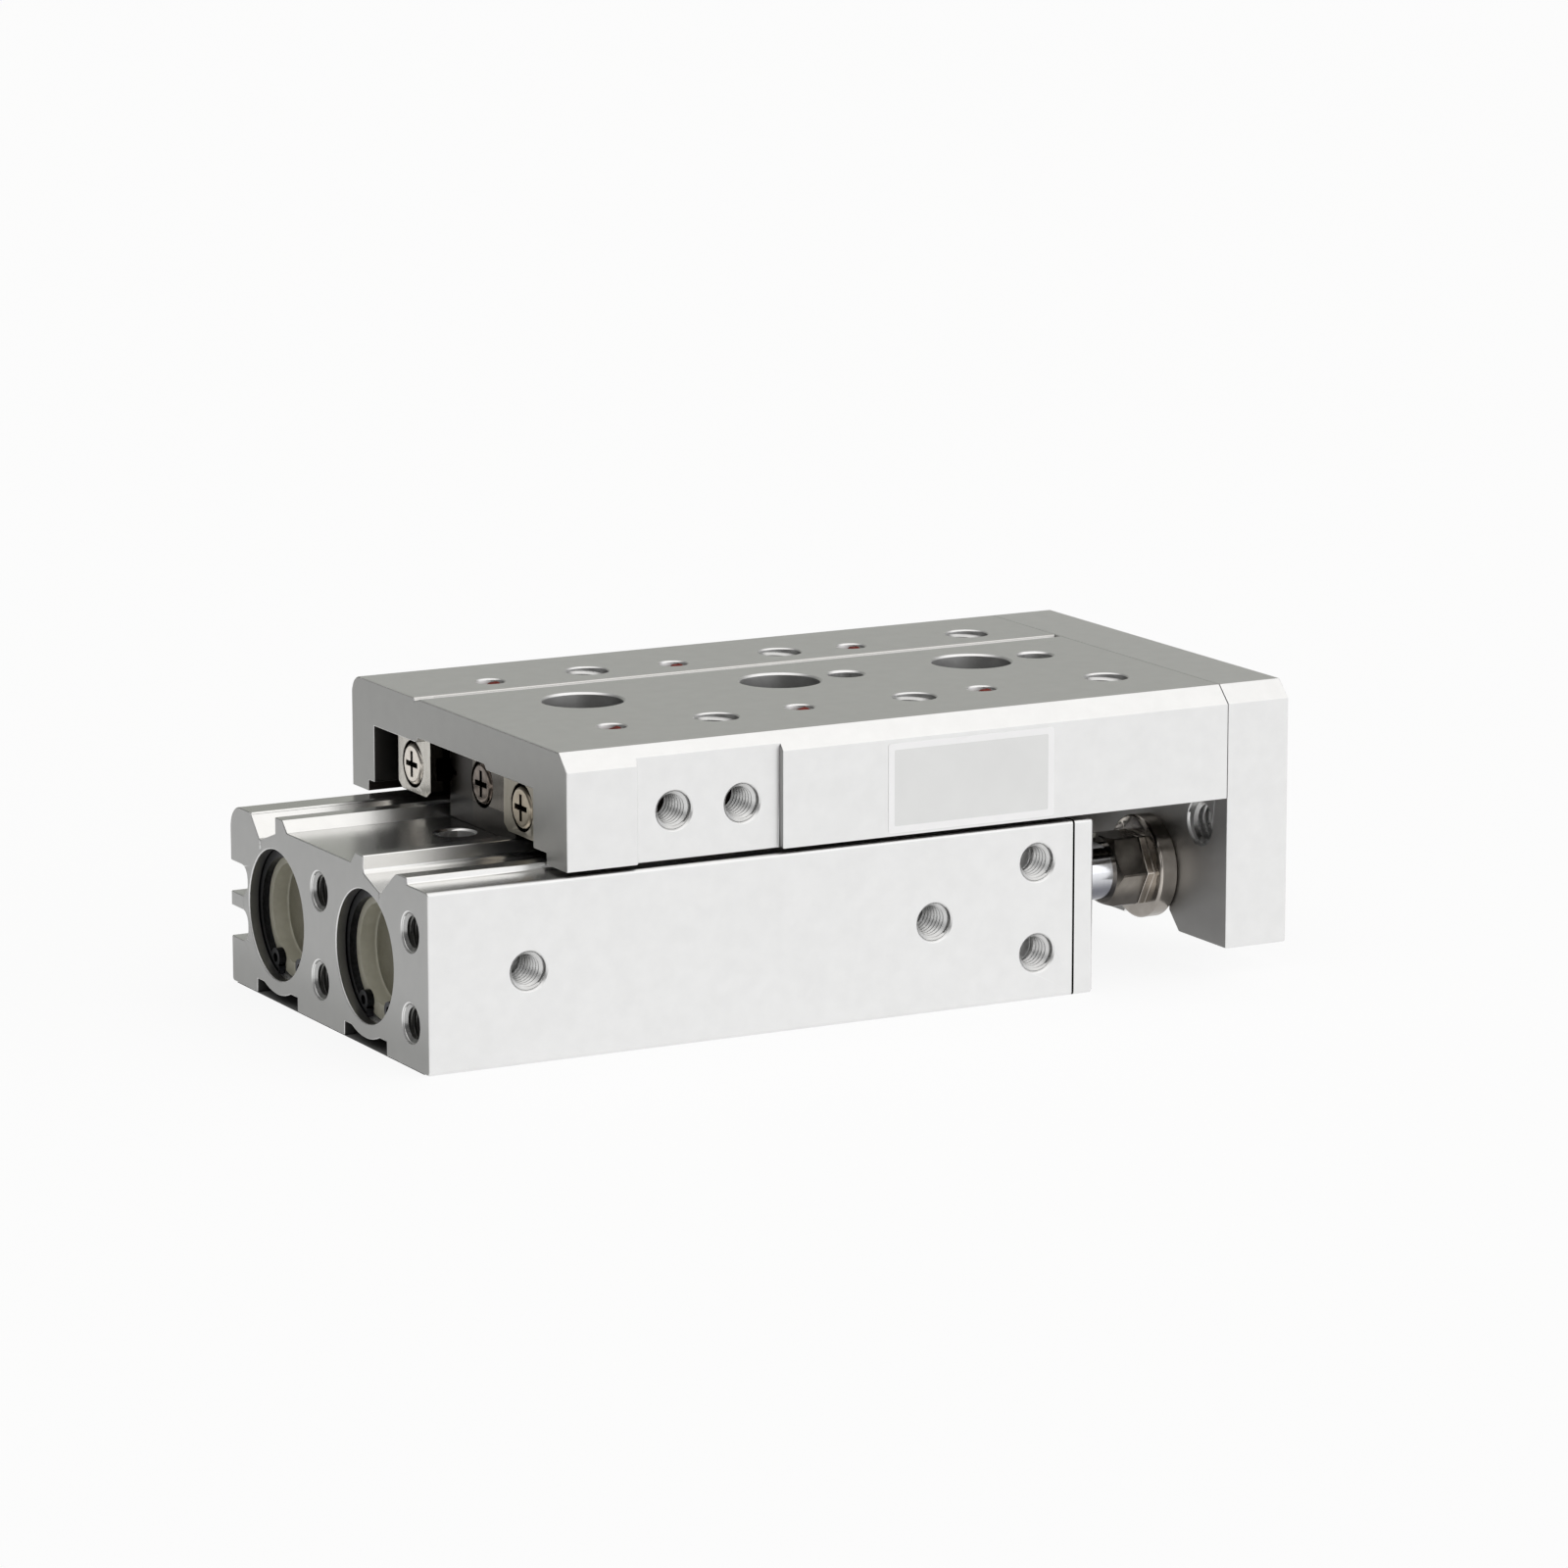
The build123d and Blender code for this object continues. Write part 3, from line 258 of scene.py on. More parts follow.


# %% [markdown]
# ## Clear anodised aluminium
# The body, cover, table and plate are blasted and clear anodised: a metal with a fine dull grain and faint
# lines along the extrusion. Noise stretched along X gives the lines, and fine noise gives the grain. The
# sawn ends are duller than the skin, as a cut surface is, and they are painted greyer as shade, because less
# light reaches them.

# %% Anodised aluminium
DRAWN = (0.01, 1, 1)
SKIN_DARK, SKIN_LIGHT = (0.805, 0.805, 0.80), (0.835, 0.835, 0.83)
SKIN_VARIATION = 0.04
BLOTCH_SIZE, SHEEN_SIZE = 2.5 * MM, 0.3 * MM
LINE_SIZE, LINE_HEIGHT = 0.25 * MM, 0.0012 * MM
GRAIN_SIZE, GRAIN_HEIGHT = 0.12 * MM, 0.0025 * MM


def lay_zones(tree, shader, colour, rough, zones):
    """Wire colour and roughness to the shader, with the zones laid over them in turn."""
    for zone, tint, zone_roughness in zones:
        mask = zone(tree)
        colour = tinted(tree, colour, mask, tint)
        rough = changed(tree, rough, mask, zone_roughness)
    tree.links.new(colour, shader.inputs["Base Color"])
    tree.links.new(rough, shader.inputs["Roughness"])


def anodised(name, roughness, zones, dark=SKIN_DARK, light=SKIN_LIGHT):
    """zones is a list of (mask maker, tint, roughness) that are laid over the skin in turn."""
    finish, tree, shader = start_finish(name, metallic=1.0)
    colour = two_tone(tree, cloudy(tree, BLOTCH_SIZE), dark, light)
    sheen = cloudy(tree, SHEEN_SIZE)
    rough = between(tree, sheen, roughness - SKIN_VARIATION, roughness + SKIN_VARIATION)
    lay_zones(tree, shader, colour, rough, zones)
    lines = relief(tree, shader, cloudy(tree, LINE_SIZE, DRAWN), LINE_HEIGHT)
    relief(tree, shader, cloudy(tree, GRAIN_SIZE), GRAIN_HEIGHT, over=lines)
    return finish


# The ends are painted greyer: painted shade, on top of the duller roughness of a cut face.
def shaded_sawn_ends(low, high):
    """Zone of the flat faces at both ends of a piece, without its rounded edges or the holes in its sides."""
    middle = (low.x + high.x) / 2
    half = (high.x - low.x) / 2

    def zone(tree):
        from_middle = compute(tree, "ABSOLUTE", compute(tree, "SUBTRACT", place_along(tree, "X"), middle))
        flat = above(tree, slope_along(tree, "X"), SQUARE)
        return all_of(tree, flat, above(tree, from_middle, half - END_SKIN))
    return zone


# %% [markdown]
# The next zones tell one face of the body or the table from another, so they need the places of a few
# features and limits for the slope. A slope of 1 is a face that looks straight along the axis, and a chamfer
# of half a right angle has a slope of 0.71. The outer faces come from the boxes of the pieces. Features that
# a box doesn't show, such as the table's channel, pocket and groove, are given by their sizes.

# %% Places and slopes for the zones
SQUARE, FLAT, LEVEL, SLANTED, STEEP = 0.96, 0.9, 0.8, 0.7, 0.5
CHAMFER_SLOPES = (0.66, 0.76)
END_SKIN = 0.2 * MM
GUTTER_DEPTH = 4.6 * MM
RIM_WIDTH = 0.6 * MM
MOUTH_MARGIN, MOUTH_RIM = 0.15 * MM, 0.14 * MM
BASE_SLOT_TOP = 1.95 * MM
REAR_CHAMFER_DEPTH = 0.34 * MM
BODY_SHADE = (1 * MM, 11 * MM)
PLATE_SHADE = (6 * MM, 20 * MM)
JOINT_LINE, PLATE_JOINT_LINE = 0.16 * MM, 0.09 * MM
JOINT_TINT = (0.03, 0.03, 0.03)
cover_x = body_high.x
plate_x = plate_low.x
ceiling = table_top - 6.1 * MM
channel_far = 25.2 * MM
pocket_end = table_low.x + 31.5 * MM
line_y = 12.4 * MM
print("joint lines at x", round(cover_x / MM, 1), "and", round(plate_x / MM, 1))

# %% [markdown]
# ## Zones of the body and its cover
# The gutters along the top of the body kept the smooth skin of the die, so they shine more. The walls at the
# mouths of the bores are painted darker as shade. The slots in its base are painted dark as deep shade, the
# rear end is painted darker towards the bottom as shade, and the chamfers around its tapped holes are duller.
# Where two pieces meet, oil and dust settle in the joint and draw it as a fine dark line, so a narrow zone on
# both sides of the joint is nearly black.


# %% Zones of the body
def drawn_gutters(tree):
    return all_of(
        tree,
        above(tree, place_along(tree, "Z"), body_high.z - GUTTER_DEPTH),
        above(tree, place_along(tree, "Y"), near_side + RIM_WIDTH),
        below(tree, slope_along(tree, "X"), STEEP),
    )


def from_axis(tree, y, z):
    """Distance from a line that runs along X."""
    flat = feed(tree, add(tree, "VectorMath", operation="MULTIPLY"), own_coordinates(tree), (0, 1, 1))
    gap = add(tree, "VectorMath", operation="DISTANCE")
    feed(tree, gap, flat, (0, y, z))
    return gap.outputs["Value"]


# Painted shade: the walls at the mouths of the bores are darkened.
def bore_mouths(tree):
    inside = []
    for cap in ("near_head_cap", "far_head_cap"):
        low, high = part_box(cap)
        middle = (low + high) / 2
        inside.append(below(tree, from_axis(tree, middle.y, middle.z), (high.z - low.z) / 2 + MOUTH_MARGIN))
    past_rim = above(tree, place_along(tree, "X"), body_low.x + MOUTH_RIM)
    return all_of(tree, compute(tree, "MAXIMUM", *inside), past_rim)


# Painted shade: the slots in the base are darkened.
def base_slots(tree):
    return all_of(
        tree,
        below(tree, place_along(tree, "Z"), BASE_SLOT_TOP),
        within(tree, "Y", body_low.y + RIM_WIDTH, body_high.y - RIM_WIDTH),
        below(tree, slope_along(tree, "X"), SLANTED),
    )


def rear_chamfers(tree):
    """The chamfers around the tapped holes of the rear end, which slope at half a right angle."""
    slope = slope_along(tree, "X")
    return all_of(
        tree,
        above(tree, slope, CHAMFER_SLOPES[0]),
        below(tree, slope, CHAMFER_SLOPES[1]),
        below(tree, place_along(tree, "X"), body_low.x + REAR_CHAMFER_DEPTH),
    )


# Painted shade: the flat ends of the body darken towards the bottom.
def low_on_body_end(tree):
    flat = above(tree, slope_along(tree, "X"), FLAT)
    return all_of(tree, flat, fading(tree, place_along(tree, "Z"), *BODY_SHADE))


def behind_cover(tree):
    return above(tree, place_along(tree, "X"), cover_x - JOINT_LINE)


def before_body(tree):
    return below(tree, place_along(tree, "X"), cover_x + JOINT_LINE)


# %% [markdown]
# Each zone comes with a tint, which multiplies the colour of the skin, and a roughness of its own. The zones
# are laid over each other in turn: where two of them overlap, both tints count and the later roughness wins.

# %% Finishes of the body and its cover
body_finish = anodised("anodised_body", 0.40, [
    (shaded_sawn_ends(body_low, body_high), (0.52, 0.52, 0.515), 0.44),
    (low_on_body_end, (0.76, 0.76, 0.75), 0.44),
    (rear_chamfers, (0.62, 0.62, 0.61), 0.36),
    (drawn_gutters, (0.985, 0.98, 0.97), 0.24),
    (bore_mouths, (0.34, 0.34, 0.335), 0.36),
    (base_slots, (0.16, 0.16, 0.155), 0.5),
    (behind_cover, JOINT_TINT, 0.7),
])
cover_finish = anodised("anodised_cover", 0.40, [(before_body, JOINT_TINT, 0.7)])
print("finishes of the body and its cover are ready")

# %% [markdown]
# ## Zones of the table and its plate
# Very little light gets under the table, so its underside, the inside of its channel and the lip of its far
# leg are painted nearly black as shade. Where the plate begins, the joint between the two draws its fine dark
# line.

# %% Zones under the table and at its joint
LEG_SKIN, CHANNEL_SKIN = 0.1 * MM, 0.05 * MM
LIP_HEIGHT, LIP_WIDTH = 1.6 * MM, 2.1 * MM


def behind_plate(tree):
    return above(tree, place_along(tree, "X"), plate_x - PLATE_JOINT_LINE)


# Painted shade: the underside of the legs is darkened.
def under_table(tree):
    """The flat underside of both legs."""
    flat = above(tree, slope_along(tree, "Z"), LEVEL)
    return all_of(tree, flat, below(tree, place_along(tree, "Z"), table_low.z + LEG_SKIN))


# Painted shade: the lip under the far leg is darkened.
def far_lip(tree):
    """The inner side of the lip under the far leg."""
    return all_of(
        tree,
        below(tree, place_along(tree, "Z"), table_low.z + LIP_HEIGHT),
        below(tree, slope_along(tree, "X"), SLANTED),
        within(tree, "Y", channel_far - LEG_SKIN, channel_far + LIP_WIDTH),
    )


# Painted shade: the inside of the channel is darkened.
def inside_channel(tree):
    return all_of(
        tree,
        below(tree, place_along(tree, "Z"), ceiling + CHANNEL_SKIN),
        within(tree, "Y", -channel_far, channel_far + CHANNEL_SKIN),
        below(tree, slope_along(tree, "X"), SLANTED),
    )


# %% [markdown]
# The wall that ends the pocket in the near side of the table faces away from the light and is painted darker
# as shade. The fine groove along its top is painted darker and a little warmer as shade, and in the drilled
# holes the walls that face the rear are painted darker as shade and a little duller. The rear face of the
# plate is painted darker towards the bottom as shade, like the end of the body.

# %% Zones on the faces of the table and plate
STEP_DEPTH, STEP_HALF, STEP_SLOPE = 1.2 * MM, 0.4 * MM, 0.6
LINE_DEPTH, LINE_HALF, TOP_SLOPE = 0.6 * MM, 1.15 * MM, 0.995
NEAR_MARGIN, FAR_MARGIN, END_MARGIN, WALL_SLOPE = 6 * MM, 4 * MM, 3 * MM, 0.4
TO_REAR = (-0.7, 0.3)


# Painted shade: the end wall of the pocket is darkened.
def pocket_step(tree):
    """The small wall that closes the near pocket towards the plate."""
    return all_of(
        tree,
        above(tree, slope_along(tree, "X"), STEP_SLOPE),
        below(tree, place_along(tree, "Y"), near_side + STEP_DEPTH),
        within(tree, "X", pocket_end - STEP_HALF, pocket_end + STEP_HALF),
    )


# Painted shade: the walls of the groove are darkened and a little warmed.
def line_groove(tree):
    return all_of(
        tree,
        within(tree, "Y", line_y - LINE_HALF, line_y + LINE_HALF),
        above(tree, place_along(tree, "Z"), table_top - LINE_DEPTH),
        below(tree, slope_along(tree, "X"), STEEP),
        below(tree, slope_along(tree, "Z"), TOP_SLOPE),
    )


# Painted shade: the hole walls that face the rear are darkened.
def drilled_walls_to_rear(tree):
    """The walls of the holes down through the table, as far as they face the rear."""
    return all_of(
        tree,
        above(tree, place_along(tree, "Z"), ceiling + LEG_SKIN),
        below(tree, slope_along(tree, "Z"), WALL_SLOPE),
        within(tree, "Y", near_side + NEAR_MARGIN, table_high.y - FAR_MARGIN),
        above(tree, place_along(tree, "X"), table_low.x + END_MARGIN),
        fading(tree, facing_along(tree, "X"), *TO_REAR),
    )


# Painted shade: the rear face of the plate darkens towards the bottom.
def low_on_plate_back(tree):
    return all_of(
        tree,
        above(tree, slope_along(tree, "X"), FLAT),
        below(tree, place_along(tree, "X"), plate_x + END_SKIN),
        fading(tree, place_along(tree, "Z"), *PLATE_SHADE),
    )


# %% [markdown]
# The table is a little smoother than the body. Its darkest zones are painted shade where light hardly
# reaches, and the plate has no joint line of its own, because the table carries the one between them.

# %% Finishes of the table and its plate
table_finish = anodised("anodised_table", 0.38, [
    (shaded_sawn_ends(table_low, table_high), (0.44, 0.44, 0.43), 0.44),
    (drilled_walls_to_rear, (0.50, 0.50, 0.50), 0.42),
    (line_groove, (0.80, 0.79, 0.77), 0.34),
    (pocket_step, (0.42, 0.42, 0.42), 0.4),
    (inside_channel, (0.10, 0.095, 0.09), 0.45),
    (under_table, (0.13, 0.12, 0.11), 0.5),
    (far_lip, (0.07, 0.06, 0.055), 0.5),
    (behind_plate, JOINT_TINT, 0.7),
])
plate_finish = anodised("anodised_plate", 0.40, [
    (shaded_sawn_ends(plate_low, plate_high), (0.71, 0.70, 0.69), 0.42),
    (low_on_plate_back, (0.43, 0.43, 0.43), 0.44),
])
print("finishes of the table and its plate are ready")

# %% [markdown]
# ## Steels
# Rails, nickel plated fittings, dark screws and the hard chromed rod are one family: metal shaders that
# differ in colour, roughness and the direction of their marks. One function makes them all, with the marks
# stretched along or around the piece.

# %% Steel finishes
FINER = 0.6
ROUGH_LOW, ROUGH_HIGH = 0.8, 1.2


def steel(name, dark, light, roughness, marks, stretch=(1, 1, 1), height=0.001 * MM, zones=()):
    finish, tree, shader = start_finish(name, metallic=1.0)
    pattern = cloudy(tree, marks, stretch)
    colour = two_tone(tree, pattern, dark, light)
    finer = cloudy(tree, marks * FINER, stretch)
    rough = between(tree, finer, roughness * ROUGH_LOW, roughness * ROUGH_HIGH)
    lay_zones(tree, shader, colour, rough, zones)
    relief(tree, shader, pattern, height)
    return finish


# %% [markdown]
# The outer rails have bright ends, while their flanks are painted dark as shade between the parts. The near
# one and its screw are browner than the far one. The centre rail is painted nearly black as shade under the
# table, and its foot and the far half of its end are painted darker still as shade. The heads of the end
# screws have a cross recess that is painted black as shade: everything further in than the domed face is
# darkened.

# %% Zones of the rails and their screws
HEAD_FACE = 0.42 * MM
FOOT_HEIGHT = 0.2 * MM
screws_low, screws_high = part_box("guide_rail_end_screws")
centre_screws_low, centre_screws_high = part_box("centre_rail_end_screws")


# Painted shade: the flanks of the rails are darkened.
def shaded_flank(tree):
    return below(tree, slope_along(tree, "X"), SLANTED)


def near_rail_only(tree):
    return below(tree, place_along(tree, "Y"), 0)


# Painted shade: the far half of the centre rail's end is darkened.
def far_half(tree):
    return above(tree, place_along(tree, "Y"), centre_screws_high.y)


# Painted shade: the foot of the centre rail is darkened.
def foot_of_rail(tree):
    return below(tree, place_along(tree, "Z"), centre_screws_low.z + FOOT_HEIGHT)


# Painted shade: the cross recess of a screw head, and all further in, is darkened.
def inside_heads(low, high):
    """Zone between the two faces of a pair of screws that point away from each other."""
    def zone(tree):
        return within(tree, "X", low.x + HEAD_FACE, high.x - HEAD_FACE)
    return zone


# %% [markdown]
# The marks of the grinding wheel run up and down the ends of the rails, so their pattern is stretched along
# Z. They are so shallow that they show only in the highlights.

# %% Rails and their screws
ALONG_Z = (1, 1, 0.15)
GROUND_HEIGHT = 0.0003 * MM
rail_finish = steel(
    "ground_rail", (0.48, 0.46, 0.42), (0.56, 0.54, 0.50), 0.26, 0.5 * MM, ALONG_Z, GROUND_HEIGHT,
    zones=[(near_rail_only, (0.54, 0.52, 0.47), 0.28), (shaded_flank, (0.09, 0.085, 0.08), 0.25)])
# The centre rail is the ground rail steel painted nearly black: painted shade under the table.
centre_rail_finish = steel(
    "shaded_ground_centre_rail", (0.065, 0.058, 0.048), (0.088, 0.079, 0.067), 0.20, 0.5 * MM, ALONG_Z,
    GROUND_HEIGHT,
    zones=[(shaded_flank, (0.35, 0.33, 0.31), 0.25),
           (far_half, (0.22, 0.20, 0.18), 0.3),
           (foot_of_rail, (0.22, 0.20, 0.18), 0.3)])
end_screw_finish = steel(
    "nickel_screw", (0.62, 0.57, 0.51), (0.74, 0.70, 0.64), 0.26, 0.8 * MM,
    zones=[(near_rail_only, (0.66, 0.62, 0.54), 0.28),
           (inside_heads(screws_low, screws_high), (0.035, 0.03, 0.028), 0.6)])
# The screw of the centre rail is stained reddish and painted dark as shade under the table.
centre_screw_finish = steel(
    "stained_and_shaded_screw", (0.09, 0.072, 0.060), (0.20, 0.165, 0.14), 0.16, 0.8 * MM,
    zones=[(inside_heads(centre_screws_low, centre_screws_high), (0.07, 0.06, 0.05), 0.6)])
# Painted shade darkens the foot of the centre rail up to this height.
print("grease on the foot of the centre rail up to z", round((centre_screws_low.z + FOOT_HEIGHT) / MM, 1))

# %% [markdown]
# The nut and the floating bush are nickel plated with a warm, smoky tone, so they are darker and browner
# than the screws, and the nut is the darker of the two. The rod is hard chromed: nearly a mirror, with only a
# trace of marks around it. Its underside is painted darker and is a little rougher: the darkening is a
# painted reflection of the shade beneath it. The undersides of the nut and the bush are painted darker as
# shade too.

# %% Rod, nut and bush
ROD_SHADE = (-2.2 * MM, 0.9 * MM)
NUT_SHADE = (-3.6 * MM, -1.4 * MM)
PLATING_HEIGHT = 0.0002 * MM
rods_low, rods_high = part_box("near_piston_rod")
rod_z = (rods_low.z + rods_high.z) / 2


# Painted reflection of shade: the underside of the rod is darkened.
def under_rod(tree):
    return fading(tree, place_along(tree, "Z"), rod_z + ROD_SHADE[0], rod_z + ROD_SHADE[1])


# Painted shade: the undersides of the nut and the bush are darkened.
def under_nut(tree):
    return fading(tree, place_along(tree, "Z"), rod_z + NUT_SHADE[0], rod_z + NUT_SHADE[1])


chrome = steel(
    "hard_chrome", (0.88, 0.89, 0.92), (0.92, 0.93, 0.96), 0.10, 0.4 * MM, (1, 0.2, 0.2), 0.0001 * MM,
    zones=[(under_rod, (0.20, 0.20, 0.22), 0.16)])
nut_finish = steel(
    "dark_nickel", (0.19, 0.172, 0.152), (0.24, 0.22, 0.195), 0.20, 1.6 * MM, height=PLATING_HEIGHT,
    zones=[(under_nut, (0.40, 0.40, 0.41), 0.24)])
bush_finish = steel(
    "smoky_nickel", (0.50, 0.46, 0.415), (0.57, 0.53, 0.485), 0.16, 1.6 * MM, height=PLATING_HEIGHT,
    zones=[(under_nut, (0.6, 0.6, 0.6), 0.24)])
print("middle of the rods at z", round(rod_z / MM, 1))

# %% [markdown]
# Each piece of the model names the material it is made of. A dictionary of finishes under those names lets
# every piece find its own. The pieces hidden inside need nothing more special than that.

# %% Family of metals
finishes = {
    "anodised_aluminium": body_finish,
    "turned_aluminium": steel(
        "turned_aluminium", (0.62, 0.62, 0.62), (0.72, 0.72, 0.71), 0.30, 0.2 * MM, (1, 0.1, 0.1)),
    "chromed_rod": chrome,
    "ground_rail_steel": rail_finish,
    "roller_steel": steel("bearing_steel", (0.62, 0.62, 0.62), (0.72, 0.72, 0.72), 0.12, 0.3 * MM),
    "cage_steel": steel("cage_strip", (0.16, 0.15, 0.14), (0.22, 0.21, 0.20), 0.32, 0.5 * MM),
    "nickel_plated_steel": bush_finish,
    "screw_steel": steel("screw_steel", (0.14, 0.13, 0.12), (0.22, 0.21, 0.20), 0.32, 0.5 * MM),
    "spring_steel_black": steel("black_oxide", (0.020, 0.021, 0.024), (0.036, 0.037, 0.042), 0.36, 0.5 * MM),
    "bearing_bronze": steel("bearing_bronze", (0.48, 0.33, 0.16), (0.60, 0.43, 0.22), 0.35, 0.3 * MM),
}
print("metal finishes:", len(finishes))

# %% [markdown]
# ## Resin, rubber and magnet
# The plugs in the bores are moulded from an olive grey resin, painted darker on the floor of their recess as
# shade. Moulded pieces are smooth with a slight cloudiness, and rubber is nearly black and dull, so
# both need far less contrast than metal does.

# %% Moulded finishes
CAP_RIM = 1.8 * MM
MOULD_VARIATION = 0.06
MOULD_GRAIN = 0.15 * MM
cap_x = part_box("near_head_cap")[0].x


def moulded(name, dark, light, roughness, blotch=1.5 * MM, height=0.004 * MM, gloss=0.5, zones=()):
    finish, tree, shader = start_finish(name)
    colour = two_tone(tree, cloudy(tree, blotch), dark, light)
    for zone, tint in zones:
        colour = tinted(tree, colour, zone(tree), tint)
    tree.links.new(colour, shader.inputs["Base Color"])
    sheen = cloudy(tree, SHEEN_SIZE)
    rough = between(tree, sheen, roughness - MOULD_VARIATION, roughness + MOULD_VARIATION)
    tree.links.new(rough, shader.inputs["Roughness"])
    shader.inputs["Specular IOR Level"].default_value = gloss
    relief(tree, shader, cloudy(tree, MOULD_GRAIN), height)
    return finish


# Painted shade: the floor of the plug's recess is darkened.
def cap_floor(tree):
    """The floor of the plug's recess, and all else that faces along the bore further in than its rim."""
    flat = above(tree, slope_along(tree, "X"), SLANTED)
    return all_of(tree, flat, above(tree, place_along(tree, "X"), cap_x + CAP_RIM))


finishes["cap_resin"] = moulded("cap_resin", (0.47, 0.455, 0.37), (0.54, 0.525, 0.435), 0.42,
                                zones=[(cap_floor, (0.40, 0.39, 0.36))])
finishes["seal_rubber"] = moulded("seal_rubber", (0.012, 0.012, 0.012), (0.022, 0.022, 0.022), 0.50)
finishes["magnet_compound"] = moulded("magnet_compound", (0.04, 0.04, 0.04), (0.07, 0.07, 0.07), 0.60)
print("all finishes:", sorted(finishes))

# %% [markdown]
# ## Dressing the model's own pieces
# The record of the model says what each piece is made of, and most pieces take the finish of that name. A few
# have a finish of their own.

# %% Finishes of the pieces
OWN_FINISH = {
    "table": table_finish,
    "end_plate": plate_finish,
    "front_cover": cover_finish,
    "centre_rail": centre_rail_finish,
    "near_rod_nut": nut_finish,
    "far_rod_nut": nut_finish,
    "guide_rail_end_screws": end_screw_finish,
    "centre_rail_end_screws": centre_screw_finish,
}

for part in frame["record"]["subparts"]:
    node = nodes[part["node"]]
    node.data.materials.clear()
    node.data.materials.append(OWN_FINISH.get(part["node"], finishes[part["material_slot"]]))
print("pieces with a finish of their own:", len(OWN_FINISH))

# %% [markdown]
# A cut edge is never perfectly sharp: a tiny round on it catches the light as a thin bright line. A Weld
# joins the faces of the imported mesh. One Bevel then rounds the edges that turn by about a right angle, and
# a second, narrower one takes the edges of the chamfers. A Weighted Normal keeps the flats looking flat. The
# mesh itself stays as the model gave it.

# %% Softened edges
RIGHT_ANGLE_LIMIT = math.radians(52)
CHAMFER_LIMIT = math.radians(28)
CHAMFER_ROUND = 0.04 * MM
MERGE_DISTANCE = 0.001 * MM
EDGE_ROUND = {
    "cylinder_body": 0.16 * MM,
    "front_cover": 0.16 * MM,
    "table": 0.17 * MM,
    "end_plate": 0.15 * MM,
    "near_guide_rail": 0.07 * MM,
    "far_guide_rail": 0.07 * MM,
    "centre_rail": 0.10 * MM,
    "near_floating_bush": 0.10 * MM,
    "far_floating_bush": 0.10 * MM,
}


def soften_edges(piece, width):
    weld = piece.modifiers.new("join_faces", "WELD")
    weld.merge_threshold = MERGE_DISTANCE
    for title, size, limit, steps in (
        ("edge_round", width, RIGHT_ANGLE_LIMIT, 2),
        ("chamfer_round", CHAMFER_ROUND, CHAMFER_LIMIT, 1),
    ):
        bevel = piece.modifiers.new(title, "BEVEL")
        bevel.width = size
        bevel.segments = steps
        bevel.limit_method = "ANGLE"
        bevel.angle_limit = limit
        bevel.use_clamp_overlap = False
    flats = piece.modifiers.new("flat_faces", "WEIGHTED_NORMAL")
    flats.keep_sharp = False
    flats.weight = 100


for name, width in EDGE_ROUND.items():
    soften_edges(nodes[name], width)
print("softened edges on", len(EDGE_ROUND), "pieces")

# %% [markdown]
# ## Screw threads
# The model has plain holes at the thread's outer size. A real tap leaves a ridge that winds down the hole.
# A Screw modifier could sweep one, but writing the ridge as rings of points makes it easy to fade it in at
# the mouth. Each step along the winding has four points: two feet sunk in the wall and a narrow crest.

# %% Ridge of a thread
COARSE_PITCH = {2.5: 0.8 * MM, 3.0: 1.0 * MM}
STEPS_PER_TURN = 40
FADE_STEPS = STEPS_PER_TURN / 2
FOOT_SINK = 0.02 * MM
FIRST_TURN, RIDGE_HEIGHT = 0.6, 0.54
FOOT_HALF, CREST_HALF = 0.44, 0.08


def around(into):
    """Two directions square to a hole, to place points around it."""
    side = into.orthogonal().normalized()
    return side, into.cross(side)


def join_rings(mesh, first, second):
    for k in range(len(first)):
        after = (k + 1) % len(first)
        mesh.faces.new((first[k], first[after], second[after], second[k]))


def ridge(mesh, mouth, into, radius, pitch, depth):
    """Add the ridge of a tapped hole to a bmesh, from its mouth inwards."""
    side, up = around(into)
    steps = int(STEPS_PER_TURN * (depth - pitch) / pitch)
    rings = []
    for step in range(steps + 1):
        turn = 2 * math.pi * step / STEPS_PER_TURN
        out = side * math.cos(turn) + up * math.sin(turn)
        along = pitch * (FIRST_TURN + step / STEPS_PER_TURN)
        fade = min(1.0, step / FADE_STEPS, (steps - step) / FADE_STEPS)
        crest = radius - RIDGE_HEIGHT * pitch * fade
        foot = radius + FOOT_SINK
        section = ((-FOOT_HALF, foot), (-CREST_HALF, crest), (CREST_HALF, crest), (FOOT_HALF, foot))
        ring = [mesh.verts.new(mouth + into * (along + shift * pitch) + out * r) for shift, r in section]
        rings.append(ring)
    for first, second in zip(rings, rings[1:]):
        join_rings(mesh, first, second)
    mesh.faces.new(rings[0][::-1])
    mesh.faces.new(rings[-1])


# %% [markdown]
# Where a hole has a wide countersink, its cutter has taken the first turn of the thread away and left a cone.
# The cone is built of small rings too, all around the hole.

# %% Countersink
CONE_START, CONE_END, CONE_HEIGHT = 0.26 * MM, 0.80, 0.5
CONE_SINK = 0.03 * MM


def countersink(mesh, mouth, into, radius, pitch):
    """Add the cone where the cutter has taken the first turn of a thread away."""
    side, up = around(into)
    section = (
        (CONE_START, radius + CONE_SINK),
        (CONE_END * pitch, radius - CONE_HEIGHT * pitch),
        (pitch, radius + FOOT_SINK),
    )
    rings = []
    for step in range(STEPS_PER_TURN):
        turn = 2 * math.pi * step / STEPS_PER_TURN
        out = side * math.cos(turn) + up * math.sin(turn)
        rings.append([mesh.verts.new(mouth + into * deep + out * r) for deep, r in section])
    for first, second in zip(rings, rings[1:] + rings[:1]):
        join_rings(mesh, first, second)


